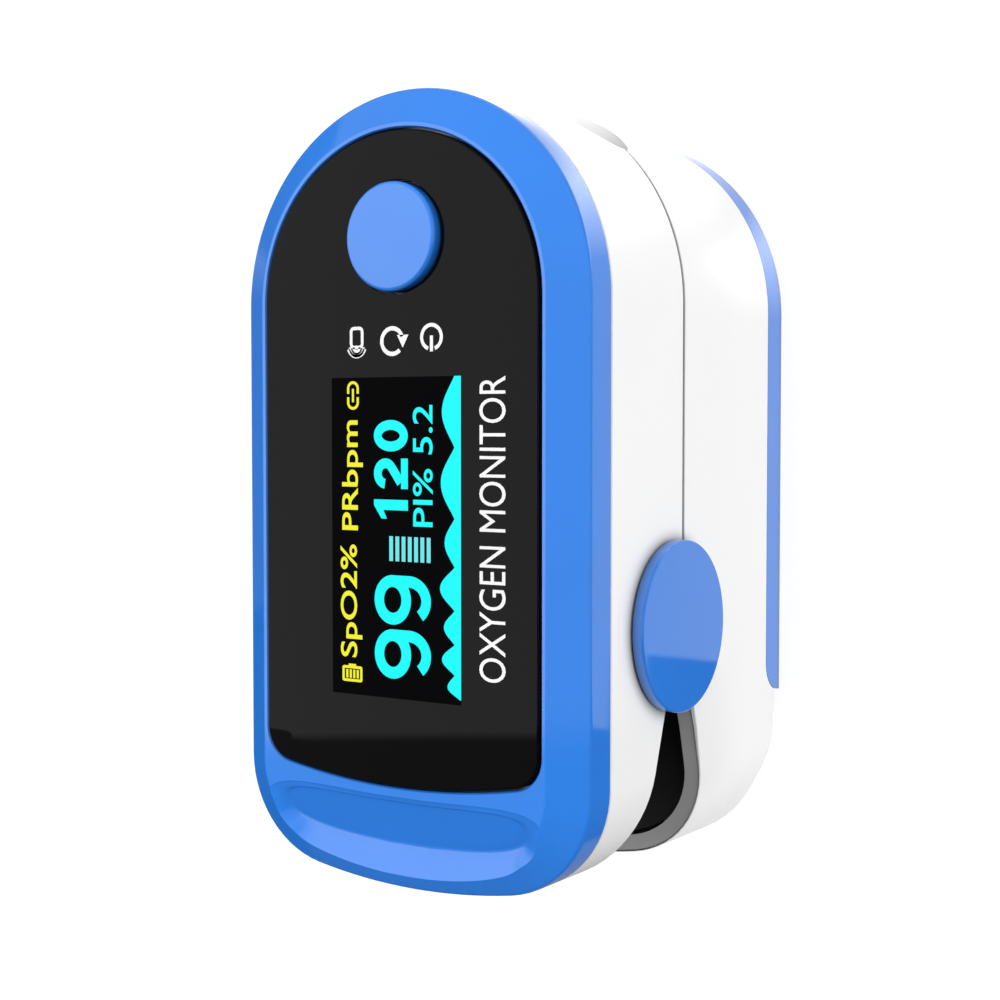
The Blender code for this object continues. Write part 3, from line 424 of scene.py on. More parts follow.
def lower_edge(y):
    first = max(0.0, min(y, LOWER_BEND_Y) - LOWER_CUT_Y) * LOWER_CUT_SLOPE
    return LOWER_TOP - 0.06 * MM - first - max(0.0, y - LOWER_BEND_Y) * LOWER_BEND_SLOPE


def ease(t):
    t = min(1.0, max(0.0, t))
    return t * t * (3 - 2 * t)


def tail_round(y):
    """The radius of the battery half's bottom edge: small along the sides, large round the tail."""
    return 0.6 * MM + 3.1 * MM * ease((y - 19 * MM) / (6 * MM))


def quarter_turn(steps):
    """Angles from 0 to 90 degrees."""
    return [math.pi / 2 * step / steps for step in range(steps + 1)]


def quarter(radius, steps=4):
    """How far a rounded edge is set in and how far along it is, from the edge's tip to its side."""
    return [(radius * (1 - math.sin(a)), radius * (1 - math.cos(a))) for a in quarter_turn(steps)]


def rounded(profile, steps=5):
    """A profile of (inset, height, radius) corners as a smooth list of (inset, height)."""
    out = []
    for i, (inset, height, radius) in enumerate(profile):
        here = Vector((inset, height))
        if not radius or i in (0, len(profile) - 1):
            out.append(here)
            continue
        back = (Vector(profile[i - 1][:2]) - here).normalized()
        ahead = (Vector(profile[i + 1][:2]) - here).normalized()
        half = back.angle(ahead) / 2
        reach = radius / math.tan(half)
        start, end = here + back * reach, here + ahead * reach
        for step in range(steps + 1):
            t = step / steps
            out.append(start * (1 - t) ** 2 + here * 2 * t * (1 - t) + end * t * t)
    return [(p.x, p.y) for p in out]


# ---------------------------------------------------------------- mesh tools

def new_object(name, bm):
    bmesh.ops.recalc_face_normals(bm, faces=bm.faces)
    mesh = bpy.data.meshes.new(name)
    bm.to_mesh(mesh)
    bm.free()
    obj = bpy.data.objects.new(name, mesh)
    bpy.context.scene.collection.objects.link(obj)
    return obj


def bridge(bm, loops):
    """Faces between each closed loop of vertices and the next."""
    for below, above in zip(loops, loops[1:]):
        for i in range(len(below)):
            j = (i + 1) % len(below)
            bm.faces.new((below[i], below[j], above[j], above[i]))


def quads(bm, grid):
    """Faces over a grid of vertices."""
    for row, beyond in zip(grid, grid[1:]):
        for i in range(len(row) - 1):
            bm.faces.new((row[i], row[i + 1], beyond[i + 1], beyond[i]))


def close_end(bm, loop):
    """Close an outline with strips from side to side, which stay flat where its height changes along Y."""
    count, apex = len(loop), ARCH_STEPS // 2
    for step in range(count // 2):
        corners = [loop[(apex + step) % count], loop[(apex + step + 1) % count], loop[apex - step - 1],
                   loop[apex - step]]
        bm.faces.new(list(dict.fromkeys(corners)))


def loft(name, rings):
    """A solid through a stack of plan outlines."""
    bm = bmesh.new()
    loops = [[bm.verts.new(point) for point in points] for points in rings]
    bridge(bm, loops)
    close_end(bm, loops[0])
    close_end(bm, loops[-1])
    return new_object(name, bm)


def box(name, low, high):
    """A block between two corners."""
    low, high = Vector(low), Vector(high)
    bm = bmesh.new()
    bmesh.ops.create_cube(bm, size=1.0)
    bmesh.ops.transform(bm, verts=bm.verts,
                        matrix=Matrix.Translation((low + high) / 2) @ Matrix.Diagonal((*(high - low), 1.0)))
    return new_object(name, bm)


def rod(name, start, end, radius, steps=64):
    """A cylinder between two points."""
    start, end = Vector(start), Vector(end)
    along = end - start
    bm = bmesh.new()
    turn = along.to_track_quat("Z", "Y").to_matrix().to_4x4()
    bmesh.ops.create_cone(bm, cap_ends=True, segments=steps, radius1=radius, radius2=radius,
                          depth=along.length, matrix=Matrix.Translation((start + end) / 2) @ turn)
    return new_object(name, bm)


def oval(name, rise, half_width, start_y, end_y, steps=120):
    """An elliptical rod along Y, centred on the parting plane."""
    obj = rod(name, (0, 0, 0), (0, 1, 0), 1.0, steps)
    stretch = Matrix.Diagonal((half_width, end_y - start_y, rise, 1))
    obj.data.transform(Matrix.Translation((0, start_y, PARTING_Z)) @ stretch)
    return obj


def hinge_rod(name, radius, steps=64, reach=ASIDE):
    """A rod along the hinge's axis, right through the object."""
    return rod(name, (-reach, *HINGE.yz), (reach, *HINGE.yz), radius, steps)


def turned(name, profile, centre, axis, steps=96):
    """A body turned round an axis: the profile gives (radius, height) along it, from one end to the other."""
    bm = bmesh.new()
    rings = []
    for radius, height in profile:
        if radius == 0:
            rings.append([bm.verts.new((0, 0, height))])
        else:
            angles = [2 * math.pi * i / steps for i in range(steps)]
            rings.append([bm.verts.new((radius * math.cos(a), radius * math.sin(a), height)) for a in angles])
    for below, above in zip(rings, rings[1:]):
        for i in range(steps):
            j = (i + 1) % steps
            corners = [loop[k % len(loop)] for loop, k in ((below, i), (below, j), (above, j), (above, i))]
            bm.faces.new(list(dict.fromkeys(corners)))
    turn = Vector(axis).to_track_quat("Z", "Y").to_matrix().to_4x4()
    bmesh.ops.transform(bm, matrix=Matrix.Translation(centre) @ turn, verts=bm.verts)
    return new_object(name, bm)


def carve(obj, *others, operation="DIFFERENCE"):
    """Apply a Boolean with each other object, which is then deleted, at a larger scale for precision."""
    obj.data.transform(Matrix.Diagonal((WORK_SCALE,) * 3).to_4x4())
    for other in others:
        other.data.transform(Matrix.Diagonal((WORK_SCALE,) * 3).to_4x4())
        modifier = obj.modifiers.new("carve", "BOOLEAN")
        modifier.operation = operation
        modifier.solver = "EXACT"
        modifier.object = other
        settle(obj)
        bpy.data.objects.remove(other, do_unlink=True)
        tidy(obj.data)
    obj.data.transform(Matrix.Diagonal((1 / WORK_SCALE,) * 3).to_4x4())
    return obj


def tidy(mesh):
    """Weld the slivers that a Boolean leaves, at the scale it works in."""
    bm = bmesh.new()
    bm.from_mesh(mesh)
    bmesh.ops.remove_doubles(bm, verts=bm.verts, dist=WELD)
    bmesh.ops.dissolve_degenerate(bm, edges=bm.edges, dist=SLIVER)
    bm.to_mesh(mesh)
    bm.free()


def settle(obj):
    """Apply what modifiers an object has."""
    bpy.context.view_layer.update()
    graph = bpy.context.evaluated_depsgraph_get()
    mesh = bpy.data.meshes.new_from_object(obj.evaluated_get(graph))
    obj.modifiers.clear()
    old = obj.data
    obj.data = mesh
    bpy.data.meshes.remove(old)
    mesh.name = obj.name


def place(obj, body, look, replaces=(), edge=0.0, angle=30.0):
    """Give a piece its material, soften its cut edges and let it ride on its body."""
    obj.data.materials.clear()
    obj.data.materials.append(look)
    obj.data.shade_smooth()
    if edge:
        bevel = obj.modifiers.new("edge", "BEVEL")
        bevel.width = edge
        bevel.segments = 2
        bevel.limit_method = "ANGLE"
        bevel.angle_limit = math.radians(42)
        bevel.harden_normals = False
    obj.data.set_sharp_from_angle(angle=math.radians(angle))
    weighted = obj.modifiers.new("normals", "WEIGHTED_NORMAL")
    weighted.keep_sharp = True
    weighted.weight = 90
    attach(obj, body)
    if replaces:
        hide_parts(*replaces)
    return obj


# ---------------------------------------------------------------- display half

def stack(name, outline, profile):
    """A solid with one outline, which a profile of (inset, height) moves inwards on its way up."""
    return loft(name, [ring(outline, height, inset) for inset, height in profile])


def front_bezel():
    """The blue frame: an upright band, a sloping ring, a flat ledge round the window and the chin's scoop."""
    outline, window = plan(), window_plan()
    bottom = FRAME_BOTTOM + SEAM
    bezel = stack("front_bezel", outline, rounded([
        (3.0 * MM, bottom, 0), (0, bottom, 0.12 * MM), (0, FRAME_EDGE, 0.45 * MM),
        (SLOPE_WIDTH, FRAME_TOP, 0.5 * MM), (4.5 * MM, FRAME_TOP, 0),
    ]))
    carve(
        bezel,
        stack("pocket", outline, [(1.6 * MM, FRAME_BOTTOM - MM), (1.6 * MM, POCKET_TOP)]),
        stack("rebate", window, [(-0.12 * MM, WINDOW_LOW.z - SEAM), (-0.12 * MM, FRAME_TOP - 0.12 * MM),
                                 (-0.26 * MM, FRAME_TOP + 0.02 * MM), (-0.3 * MM, FRAME_TOP + MM)]),
        stack("opening", window, [(1.1 * MM, POCKET_TOP - 0.4 * MM), (1.1 * MM, POCKET_TOP + 1.6 * MM)]),
        chin_scoop(),
    )
    return place(bezel, "display_half", BLUE_GLOSS, ["front_frame"])


def sag(radius, x):
    """How far a round end of that radius has fallen back at x."""
    return radius - math.sqrt(radius ** 2 - x * x)


def squared(value, power):
    """A sine or cosine pushed towards its ends, which squares off an ellipse."""
    return math.copysign(abs(value) ** (2 / power), value)


def chin_outline(reach, top_in, low_in, samples=160):
    """A curved, round-ended outline between the window's tail edge and the chin, anticlockwise.
    reach is its half width; top_in and low_in move its upper and lower sides inwards."""
    points = []
    for i in range(samples):
        angle = 2 * math.pi * (i + 0.5) / samples
        x, share = reach * squared(math.cos(angle), 4.5), squared(math.sin(angle), 3.2)
        top = CHIN_TOP_Y + top_in - sag(WINDOW_TAIL_RADIUS, x) * 0.55
        low = CHIN_LOW_Y - low_in - sag(TAIL_RADIUS, x) * 0.7
        points.append(Vector((x, (top + low) / 2 + share * (low - top) / 2)))
    return points


def chin_scoop():
    """The thumb recess in the chin: it deepens towards the tail, where a bright wall turns up to the rim."""
    top_y = WINDOW_HIGH.y + 0.5 * MM
    rim_drop, floor_drop = 0.62, 0.36
    edge = 0.10 * MM

    def surface(y):
        """The bezel's own height there: flat, then falling away round the tail."""
        return FRAME_TOP - max(0.0, y - (TAIL_Y - SLOPE_WIDTH)) * rim_drop

    def floor(y):
        return FRAME_TOP - 0.05 * MM - (y - top_y) * floor_drop

    def at(points, height, rise=0.0):
        return [Vector((p.x, p.y, height(p.y) + rise)) for p in points]

    inner = at(chin_outline(10.55 * MM, 0.72 * MM, 2.25 * MM), floor, edge)
    outer = at(chin_outline(12.15 * MM, 0.42 * MM, 0.25 * MM), surface, -0.05 * MM)
    return skin("scoop", [
        at(chin_outline(10.2 * MM, 0.82 * MM, 2.6 * MM), floor),
        at(chin_outline(10.42 * MM, 0.76 * MM, 2.36 * MM), floor, 0.03 * MM),
        inner,
        *([a.lerp(b, t) for a, b in zip(inner, outer)] for t in (0.25, 0.5, 0.75, 1.0)),
        at(chin_outline(12.24 * MM, 0.34 * MM, 0.16 * MM), surface, 0.01 * MM),
        at(chin_outline(12.3 * MM, 0.28 * MM, 0.11 * MM), lambda y: FRAME_TOP, 2 * MM),
    ])


def skin(name, rings):
    """A solid through a stack of closed rings, with a flat face at each end."""
    bm = bmesh.new()
    loops = [[bm.verts.new(point) for point in points] for points in rings]
    bridge(bm, loops)
    bm.faces.new(loops[0])
    bm.faces.new(loops[-1])
    return new_object(name, bm)


def window_panel():
    """The tinted front panel, with a soft polished edge and a hole for the key."""
    low = WINDOW_LOW.z
    panel = stack("window_panel", window_plan(), rounded([
        (2 * MM, low, 0), (0, low, 0), (0, WINDOW_TOP, 0.16 * MM), (2 * MM, WINDOW_TOP, 0),
    ]))
    hole_low, hole_high = 28 * MM, 34 * MM
    carve(panel, rod("hole", (0, BUTTON_Y, hole_low), (0, BUTTON_Y, hole_high), BUTTON_RADIUS + 0.2 * MM, 96))
    return place(panel, "display_half", WINDOW_TINT, ["display_window"])


def power_key():
    """The round key: a faintly domed face with a soft edge, a flange that keeps it in and a stem below."""
    top, low = BUTTON_HIGH.z, BUTTON_LOW.z
    edge, flange_radius, stem_radius = 0.28 * MM, 4.7 * MM, 1.5 * MM
    flange_low, flange_high = 29.75 * MM, 30.35 * MM
    profile = [(0, top), (1.6 * MM, top - 0.012 * MM), (2.9 * MM, top - 0.045 * MM)]
    profile += [(BUTTON_RADIUS - inset, top - 0.08 * MM - drop) for inset, drop in quarter(edge, 6)]
    profile += [(BUTTON_RADIUS, flange_high), (flange_radius, flange_high), (flange_radius, flange_low),
                (stem_radius, flange_low), (stem_radius, low), (0, low)]
    key = turned("power_key", profile, (0, BUTTON_Y, 0), (0, 0, 1))
    return place(key, "button", BLUE_GLOSS, ["power_button"])


def upper_case():
    """The white shell of the display half."""
    edge_plan, middle_plan = plan(arch=HALF_WIDTH + ARCH_BULGE), plan(arch=HALF_WIDTH + MIDDLE_BULGE)
    top_plan = plan()
    middle_z, shelf_z, inside_z = 24.6 * MM, 25.9 * MM, 10 * MM
    rings = []
    for inset, drop in quarter(0.14 * MM):
        rings.append(ring(edge_plan, lambda y, d=drop: upper_edge(y) + d, inset))
    rings += [ring(middle_plan, middle_z), ring(top_plan, FRAME_BOTTOM - 0.1 * MM),
              ring(top_plan, FRAME_BOTTOM, 0.1 * MM)]
    shell = loft("upper_case", rings)
    carve(
        shell,
        stack("inside", plan(arch=THROAT_ARCH), [(WALL, inside_z), (WALL, FAR)]),
        stack("shelf", top_plan, [(WALL, shelf_z), (WALL, FAR)]),
        oval("mouth", 5.9 * MM, MOUTH_HALF_WIDTH, -FAR, MOUTH_END_Y),
        hinge_rod("notch", NOTCH_RADIUS, 96),
    )
    return place(shell, "display_half", WHITE_GLOSS, ["upper_shell"])


# ---------------------------------------------------------------- battery half

def lower_plan(**shape):
    """The battery half's outline, whose tail reaches a little further than the display half's."""
    return plan(tail_y=LOWER_TAIL_Y, **shape)


def cover_profile(end_y, top_z):
    """The battery cover's side view, with its rounded tail corner."""
    below = -5 * MM
    profile = [(-FAR, below), (end_y, below)]
    for a in quarter_turn(12):
        profile.append((end_y - COVER_CORNER * (1 - math.cos(a)), top_z - COVER_CORNER * (1 - math.sin(a))))
    return [*profile, (-FAR, top_z)]


def prism(name, profile, half_length=ASIDE):
    """A side view of (y, z) points drawn out along X."""
    bm = bmesh.new()
    face = bm.faces.new([bm.verts.new((-half_length, y, z)) for y, z in profile])
    drawn = bmesh.ops.extrude_face_region(bm, geom=[face])
    moved = [item for item in drawn["geom"] if isinstance(item, bmesh.types.BMVert)]
    bmesh.ops.translate(bm, vec=(2 * half_length, 0, 0), verts=moved)
    return new_object(name, bm)


def lip_width(y):
    """The white lip outside the grey rim: even along the sides and a mere edge round the tail."""
    thin_from, thin_over, edge = 11 * MM, 15 * MM, 0.06 * MM
    return LIP - (LIP - edge) * ease((y - thin_from) / thin_over)


def inner_round(y):
    return max(0.05 * MM, tail_round(y) - FLOOR_WALL)


def round_bottom(outline, floor, wall, radius, steps):
    """Outlines up a rounded bottom edge: radius gives the edge's size at each y."""
    return [ring(outline, lambda y, a=a: floor + radius(y) * (1 - math.sin(a)),
                 lambda y, a=a: wall + radius(y) * (1 - math.cos(a)))
            for a in reversed(quarter_turn(steps))]


def lower_case():
    """The white shell of the battery half, with a large round under its tail."""
    base, throat = lower_plan(), lower_plan(arch=THROAT_ARCH)
    rings = round_bottom(base, TAIL_FLOOR, 0, tail_round, 10)
    rings += [ring(base, 6 * MM), ring(lower_plan(arch=HALF_WIDTH + MIDDLE_BULGE), 10 * MM)]
    top = lower_plan(arch=HALF_WIDTH + ARCH_BULGE)
    for inset, drop in reversed(quarter(0.12 * MM)):
        rings.append(ring(top, lambda y, d=drop: lower_edge(y) - d, inset))
    shell = loft("lower_case", rings)
    bay_top, seat_z, rebate_depth = 12.65 * MM, 12.4 * MM, 1.05 * MM
    carve(
        shell,
        loft("bay", [*round_bottom(base, TAIL_FLOOR + FLOOR_WALL, WALL, inner_round, 6),
                     ring(base, bay_top, WALL)]),
        stack("seat", throat, [(WALL, seat_z), (WALL, FAR)]),
        stack("rebate", throat, [(lip_width, lambda y: lower_edge(y) - rebate_depth), (lip_width, FAR)]),
        prism("cover_room", cover_profile(COVER_END_Y + SEAM, COVER_TOP + SEAM)),
        oval("mouth", 3.3 * MM, MOUTH_HALF_WIDTH, -FAR, MOUTH_END_Y),
        hinge_rod("notch", NOTCH_RADIUS, 96),
    )
    return place(shell, "battery_half", WHITE_GLOSS, ["lower_shell"])


def battery_door():
    """The blue back: a plate with a low wall, softly rounded where it meets the table."""
    base = lower_plan()
    wall, plate = 1.2 * MM, 1.1 * MM
    edge = rounded([(3 * MM, 0, 0), (0, 0, 0.42 * MM), (0, COVER_TOP + MM, 0)], 7)
    door = stack("battery_door", base, edge)
    carve(door, prism("shape", cover_profile(COVER_END_Y, COVER_TOP)), operation="INTERSECT")
    carve(door, stack("hollow", base, [(wall, plate), (wall, 9 * MM)]))
    return place(door, "cover", BLUE_GLOSS, ["battery_cover"])


def lower_chassis():
    """The grey chassis of the battery half: the rim seen in the gap, the channel's sides and two ears."""
    inner = lower_plan(arch=THROAT_ARCH)
    gap = WALL + LINER_GAP
    flange_depth, edge_depth = 0.95 * MM, 0.18 * MM
    low_z, high_z, deck_z = 10 * MM, 50 * MM, 15.8 * MM

    def clear(y):
        return lip_width(y) + RIM_WIDTH

    def flange(y):
        return lip_width(y) + LINER_GAP

    def under_edge(depth):
        return lambda y: lower_edge(y) - depth

    chassis = stack("lower_chassis", inner, [
        (gap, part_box("battery_tray")[1].z + SEAM), (gap, under_edge(flange_depth)),
        (flange, under_edge(flange_depth)), (flange, under_edge(edge_depth)),
        (lambda y: flange(y) + 0.06 * MM, under_edge(edge_depth - 0.06 * MM)),
    ])
    tail = stack("tail", inner, [(clear, low_z), (clear, FAR)])
    carve(tail, box("ahead", (-ASIDE, -FAR, 0), (ASIDE, STOP_BACK_Y, high_z)))
    under = stack("deck", inner, [(gap + MM, low_z), (gap + MM, deck_z)])
    carve(under, box("behind", (-ASIDE, STOP_Y, 0), (ASIDE, FAR, high_z)),
          oval("sides", CHANNEL_DROP + MM, CHANNEL_HALF_WIDTH + MM, -FAR, ASIDE))
    carve(chassis, tail, under, oval("channel", CHANNEL_DROP, CHANNEL_HALF_WIDTH, -FAR, STOP_Y),
          hinge_rod("boss_room", 2.9 * MM),
          box("floor", (-5 * MM, -FAR, low_z), (5 * MM, STOP_Y - 0.5 * MM, 14 * MM)),
          box("gate", (-2 * MM, 0, low_z), (2 * MM, 10 * MM, 13.4 * MM)))
    for side in (-1, 1):
        low, high = sorted((side * 11.5 * MM, side * 13.6 * MM))
        ear = box("ear", (low, HINGE.y - EAR_RADIUS, 13.0 * MM), (high, HINGE.y + EAR_RADIUS, HINGE.z))
        carve(ear, rod("end", (low, *HINGE.yz), (high, *HINGE.yz), EAR_RADIUS), operation="UNION")
        carve(chassis, ear, operation="UNION")
    carve(chassis, hinge_rod("shaft_hole", SHAFT_BORE))
    return place(chassis, "battery_half", GREY, ["lower_liner"])


def pivot_disc(name, node_name, side):
    """A blue disc over the end of the shaft: a faintly domed face, a soft edge and a boss behind it."""
    seat, edge = HALF_WIDTH + 0.12 * MM, 0.16 * MM
    boss_radius, boss_end, bore_end = 2.75 * MM, 13.8 * MM, 15.3 * MM
    profile = [(0, CAP_FACE_X), (2.6 * MM, CAP_FACE_X - 0.010 * MM), (4.6 * MM, CAP_FACE_X - 0.030 * MM)]
    profile += [(CAP_RADIUS - inset, CAP_FACE_X - 0.05 * MM - drop) for inset, drop in quarter(edge, 5)]
    profile += [(CAP_RADIUS, seat + 0.1 * MM), (CAP_RADIUS - 0.1 * MM, seat), (boss_radius, seat),
                (boss_radius, boss_end), (SHAFT_BORE, boss_end), (SHAFT_BORE, bore_end), (0, bore_end)]
    disc = turned(name, profile, HINGE, (side, 0, 0))
    return place(disc, "battery_half", BLUE_GLOSS, [node_name])


# ---------------------------------------------------------------- soft finger pads

def finger_pad(name, rise, side, rim_z):
    """Half of the soft sleeve round the finger: a moulded trough with a rolled rim, crowned ribs and a raised
    ring round its sensor window. side is 1 over the finger and -1 under it."""
    outer_x, outer_z = CHANNEL_HALF_WIDTH - PAD_GAP, rise - PAD_GAP
    throat_inset = WALL + 0.15 * MM
    front_stop, back_y = -24.2 * MM, STOP_Y - 0.2 * MM
    along_steps, across_steps = 96, 56
    clearance = 0.03 * MM
    start = math.asin(min(1.0, abs(rim_z - PARTING_Z) / outer_z)) + 0.02
    ring_radius, ring_width = 3.15 * MM, 0.42 * MM
    rib_pitch, rib_depth = 1.9 * MM, 0.07 * MM
    window_low, window_high, window_radius = 9 * MM, 26 * MM, 2.42 * MM

    def front_y(x):
        share = min(1.0, abs(x) / (HALF_WIDTH - throat_inset))
        throat = ARCH_Y - (THROAT_ARCH - throat_inset) * math.sqrt(1 - share * share)
        return max(front_stop, throat) + 0.12 * MM

    def point(angle, along, depth):
        """depth runs from 0 at the back of the pad to 1 at the surface that touches the finger."""
        x = (outer_x - clearance) * math.cos(angle)
        y = front_y(x) + (back_y - front_y(x)) * along
        end_taper = ease(along / 0.035) * ease((1 - along) / 0.02)
        rim_taper = ease(min(angle - start, math.pi - start - angle) / 0.16)
        crown = 0.30 + 0.70 * end_taper * (0.35 + 0.65 * rim_taper)
        distance = math.hypot(x, y - SENSOR_Y)
        raised = math.exp(-((distance - ring_radius) / ring_width) ** 2)
        ribs = 0.5 + 0.5 * math.cos(2 * math.pi * y / rib_pitch)
        calm = ease((distance - 4.0 * MM) / (1.2 * MM)) * end_taper * rim_taper
        thickness = PAD_THICKNESS * crown * (0.86 + 0.10 * raised) - rib_depth * ribs * calm
        inward = Vector((-math.cos(angle) * outer_x, -math.sin(angle) * outer_z)).normalized()
        z = (outer_z - clearance) * math.sin(angle)
        return Vector((x + inward.x * thickness * depth, y,
                       PARTING_Z + side * (z + inward.y * thickness * depth)))

    bm = bmesh.new()
    angles = [start + (math.pi - 2 * start) * i / across_steps for i in range(across_steps + 1)]
    stops = [j / along_steps for j in range(along_steps + 1)]
    back, face = ([[bm.verts.new(point(a, along, depth)) for a in angles] for along in stops]
                  for depth in (0.0, 1.0))
    quads(bm, back)
    quads(bm, face)
    for j in (0, along_steps):
        quads(bm, [back[j], face[j]])
    for i in (0, across_steps):
        quads(bm, [[row[i] for row in back], [row[i] for row in face]])
    pad = new_object(name, bm)
    window = rod("window", (0, SENSOR_Y, window_low), (0, SENSOR_Y, window_high), window_radius, 72)
    return carve(pad, window)


def soft_pads():
    """Both pads; the lower one makes room for the detector's board and for the ribbon to it."""
    rim_gap, groove_end = 0.15 * MM, 10 * MM
    low_z, board_z, ribbon_z = 10 * MM, 13.2 * MM, 13.15 * MM
    board_half_width, board_half_length, ribbon_half_width = 4.2 * MM, 3.2 * MM, 1.8 * MM
    upper = finger_pad("upper_soft_pad", CHANNEL_RISE, 1, UPPER_BOTTOM + rim_gap)
    place(upper, "display_half", RUBBER, ["upper_finger_pad"], angle=50)
    lower = finger_pad("lower_soft_pad", CHANNEL_DROP, -1, LOWER_TOP - rim_gap)
    carve(lower, box("recess", (-board_half_width, SENSOR_Y - board_half_length, low_z),
                     (board_half_width, SENSOR_Y + board_half_length, board_z)),
          box("groove", (-ribbon_half_width, SENSOR_Y, low_z), (ribbon_half_width, groove_end, ribbon_z)))
    place(lower, "battery_half", RUBBER, ["lower_finger_pad"], angle=50)


# ---------------------------------------------------------------- screen image and print

INK_BASE = WINDOW_TOP + 0.002 * MM
INK_RISE = 0.006 * MM
OVERLAP_LIFT = 0.0005 * MM


def slab(bm, points, base=INK_BASE):
    """A thin plate with an outline of (along the text, up from the line) points."""
    low = [bm.verts.new((up, -along, base)) for along, up in points]
    high = [bm.verts.new((up, -along, base + INK_RISE)) for along, up in points]
    bm.faces.new(low)
    bm.faces.new(high[::-1])
    bridge(bm, [low, high])


def strip(bm, points, width, base=INK_BASE, closed=False):
    """A line of even width through points, as a row of joined plates."""
    count = len(points)
    sides = []
    for i, point in enumerate(points):
        before = Vector(points[i - 1] if closed or i else points[0])
        after = Vector(points[(i + 1) % count] if closed or i < count - 1 else points[-1])
        tangent = (after - before).normalized()
        normal = Vector((-tangent.y, tangent.x)) * width / 2
        sides.append((Vector(point) + normal, Vector(point) - normal))
    left, right = [s[0] for s in sides], [s[1] for s in sides]
    if not closed:
        slab(bm, left + right[::-1], base)
        return
    high = base + INK_RISE
    rows = [[bm.verts.new((p.y, -p.x, height)) for p in line]
            for line, height in ((left, base), (right, base), (right, high), (left, high))]
    bridge(bm, rows + rows[:1])


def arc(centre, radius, start, end, steps=24):
    """Points on an arc, or an ellipse if the radius is a pair, with the angles in degrees."""
    across, up = radius if isinstance(radius, tuple) else (radius, radius)
    angles = [math.radians(start + (end - start) * i / steps) for i in range(steps + 1)]
    return [(centre[0] + across * math.cos(a), centre[1] + up * math.sin(a)) for a in angles]


def lettering(bm, text, along, up, width, height, weight=0.0, base=INK_BASE):
    """Text fitted into a box whose lower left corner is at (along, up)."""
    curve = bpy.data.curves.new("text", "FONT")
    curve.body = text
    curve.offset = weight
    curve.resolution_u = 5
    obj = bpy.data.objects.new("text", curve)
    bpy.context.scene.collection.objects.link(obj)
    bpy.context.view_layer.update()
    mesh = bpy.data.meshes.new_from_object(obj.evaluated_get(bpy.context.evaluated_depsgraph_get()))
    bpy.data.objects.remove(obj, do_unlink=True)
    bpy.data.curves.remove(curve)
    xs = [v.co.x for v in mesh.vertices]
    ys = [v.co.y for v in mesh.vertices]
    scale_x, scale_y = width / (max(xs) - min(xs)), height / (max(ys) - min(ys))
    flat = bmesh.new()
    flat.from_mesh(mesh)
    bpy.data.meshes.remove(mesh)
    bmesh.ops.remove_doubles(flat, verts=flat.verts, dist=0.00001)
    for vertex in flat.verts:
        x = along + (vertex.co.x - min(xs)) * scale_x
        y = up + (vertex.co.y - min(ys)) * scale_y
        vertex.co = (y, -x, base)
    drawn = bmesh.ops.extrude_face_region(flat, geom=flat.faces[:])
    moved = [item for item in drawn["geom"] if isinstance(item, bmesh.types.BMVert)]
    bmesh.ops.translate(flat, vec=(0, 0, INK_RISE), verts=moved)
    mesh = bpy.data.meshes.new("letters")
    flat.to_mesh(mesh)
    flat.free()
    bm.from_mesh(mesh)
    bpy.data.meshes.remove(mesh)


def rounded_box(along, up, width, height, radius, steps=6):
    """Points round a box whose lower left corner is at (along, up)."""
    left, right = along + radius, along + width - radius
    low, high = up + radius, up + height - radius
    corners = (((right, low), -90), ((right, high), 0), ((left, high), 90), ((left, low), 180))
    return [point for centre, start in corners for point in arc(centre, radius, start, start + 90, steps)]


def print_piece(name, bm, look):
    """A thin flat print that rides on the display half."""
    obj = new_object(name, bm)
    obj.data.shade_flat()
    obj.data.materials.append(look)
    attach(obj, "display_half")
    return obj


# The lit area in the text's own frame: along runs from the tail to the key, up runs to +X.
SCREEN_START, SCREEN_END = -14.85 * MM, 7.9 * MM
SCREEN_DOWN, SCREEN_UP = -5.6 * MM, 5.75 * MM


def battery_sign(bm, base):
    """A small battery: a case, a nub and four bars."""
    along = -13.95 * MM
    case = rounded_box(along + 0.1 * MM, 3.13 * MM, 0.95 * MM, 1.62 * MM, 0.05 * MM, 2)
    strip(bm, case, 0.2 * MM, base, True)
    slab(bm, rounded_box(along + 1.15 * MM, 3.6 * MM, 0.14 * MM, 0.68 * MM, 0.03 * MM, 2), base)
    for bar in range(4):
        up = (3.35 + 0.32 * bar) * MM
        slab(bm, rounded_box(along + 0.26 * MM, up, 0.62 * MM, 0.2 * MM, 0.03 * MM, 2), base)


def link_sign(bm, base):
    """Two open chain links with a bar through both."""
    along, up, bend = 6.63 * MM, 3.8 * MM, 0.44 * MM
    for side, start, end in ((-1, 100, 260), (1, -80, 80)):
        link = arc((along + side * 0.48 * MM, up), bend, start, end, 16)
        inner = along + side * 0.12 * MM
        strip(bm, [(inner, link[0][1]), *link, (inner, link[-1][1])], 0.2 * MM, base)
    strip(bm, [(along - 0.48 * MM, up), (along + 0.48 * MM, up)], 0.18 * MM, base)


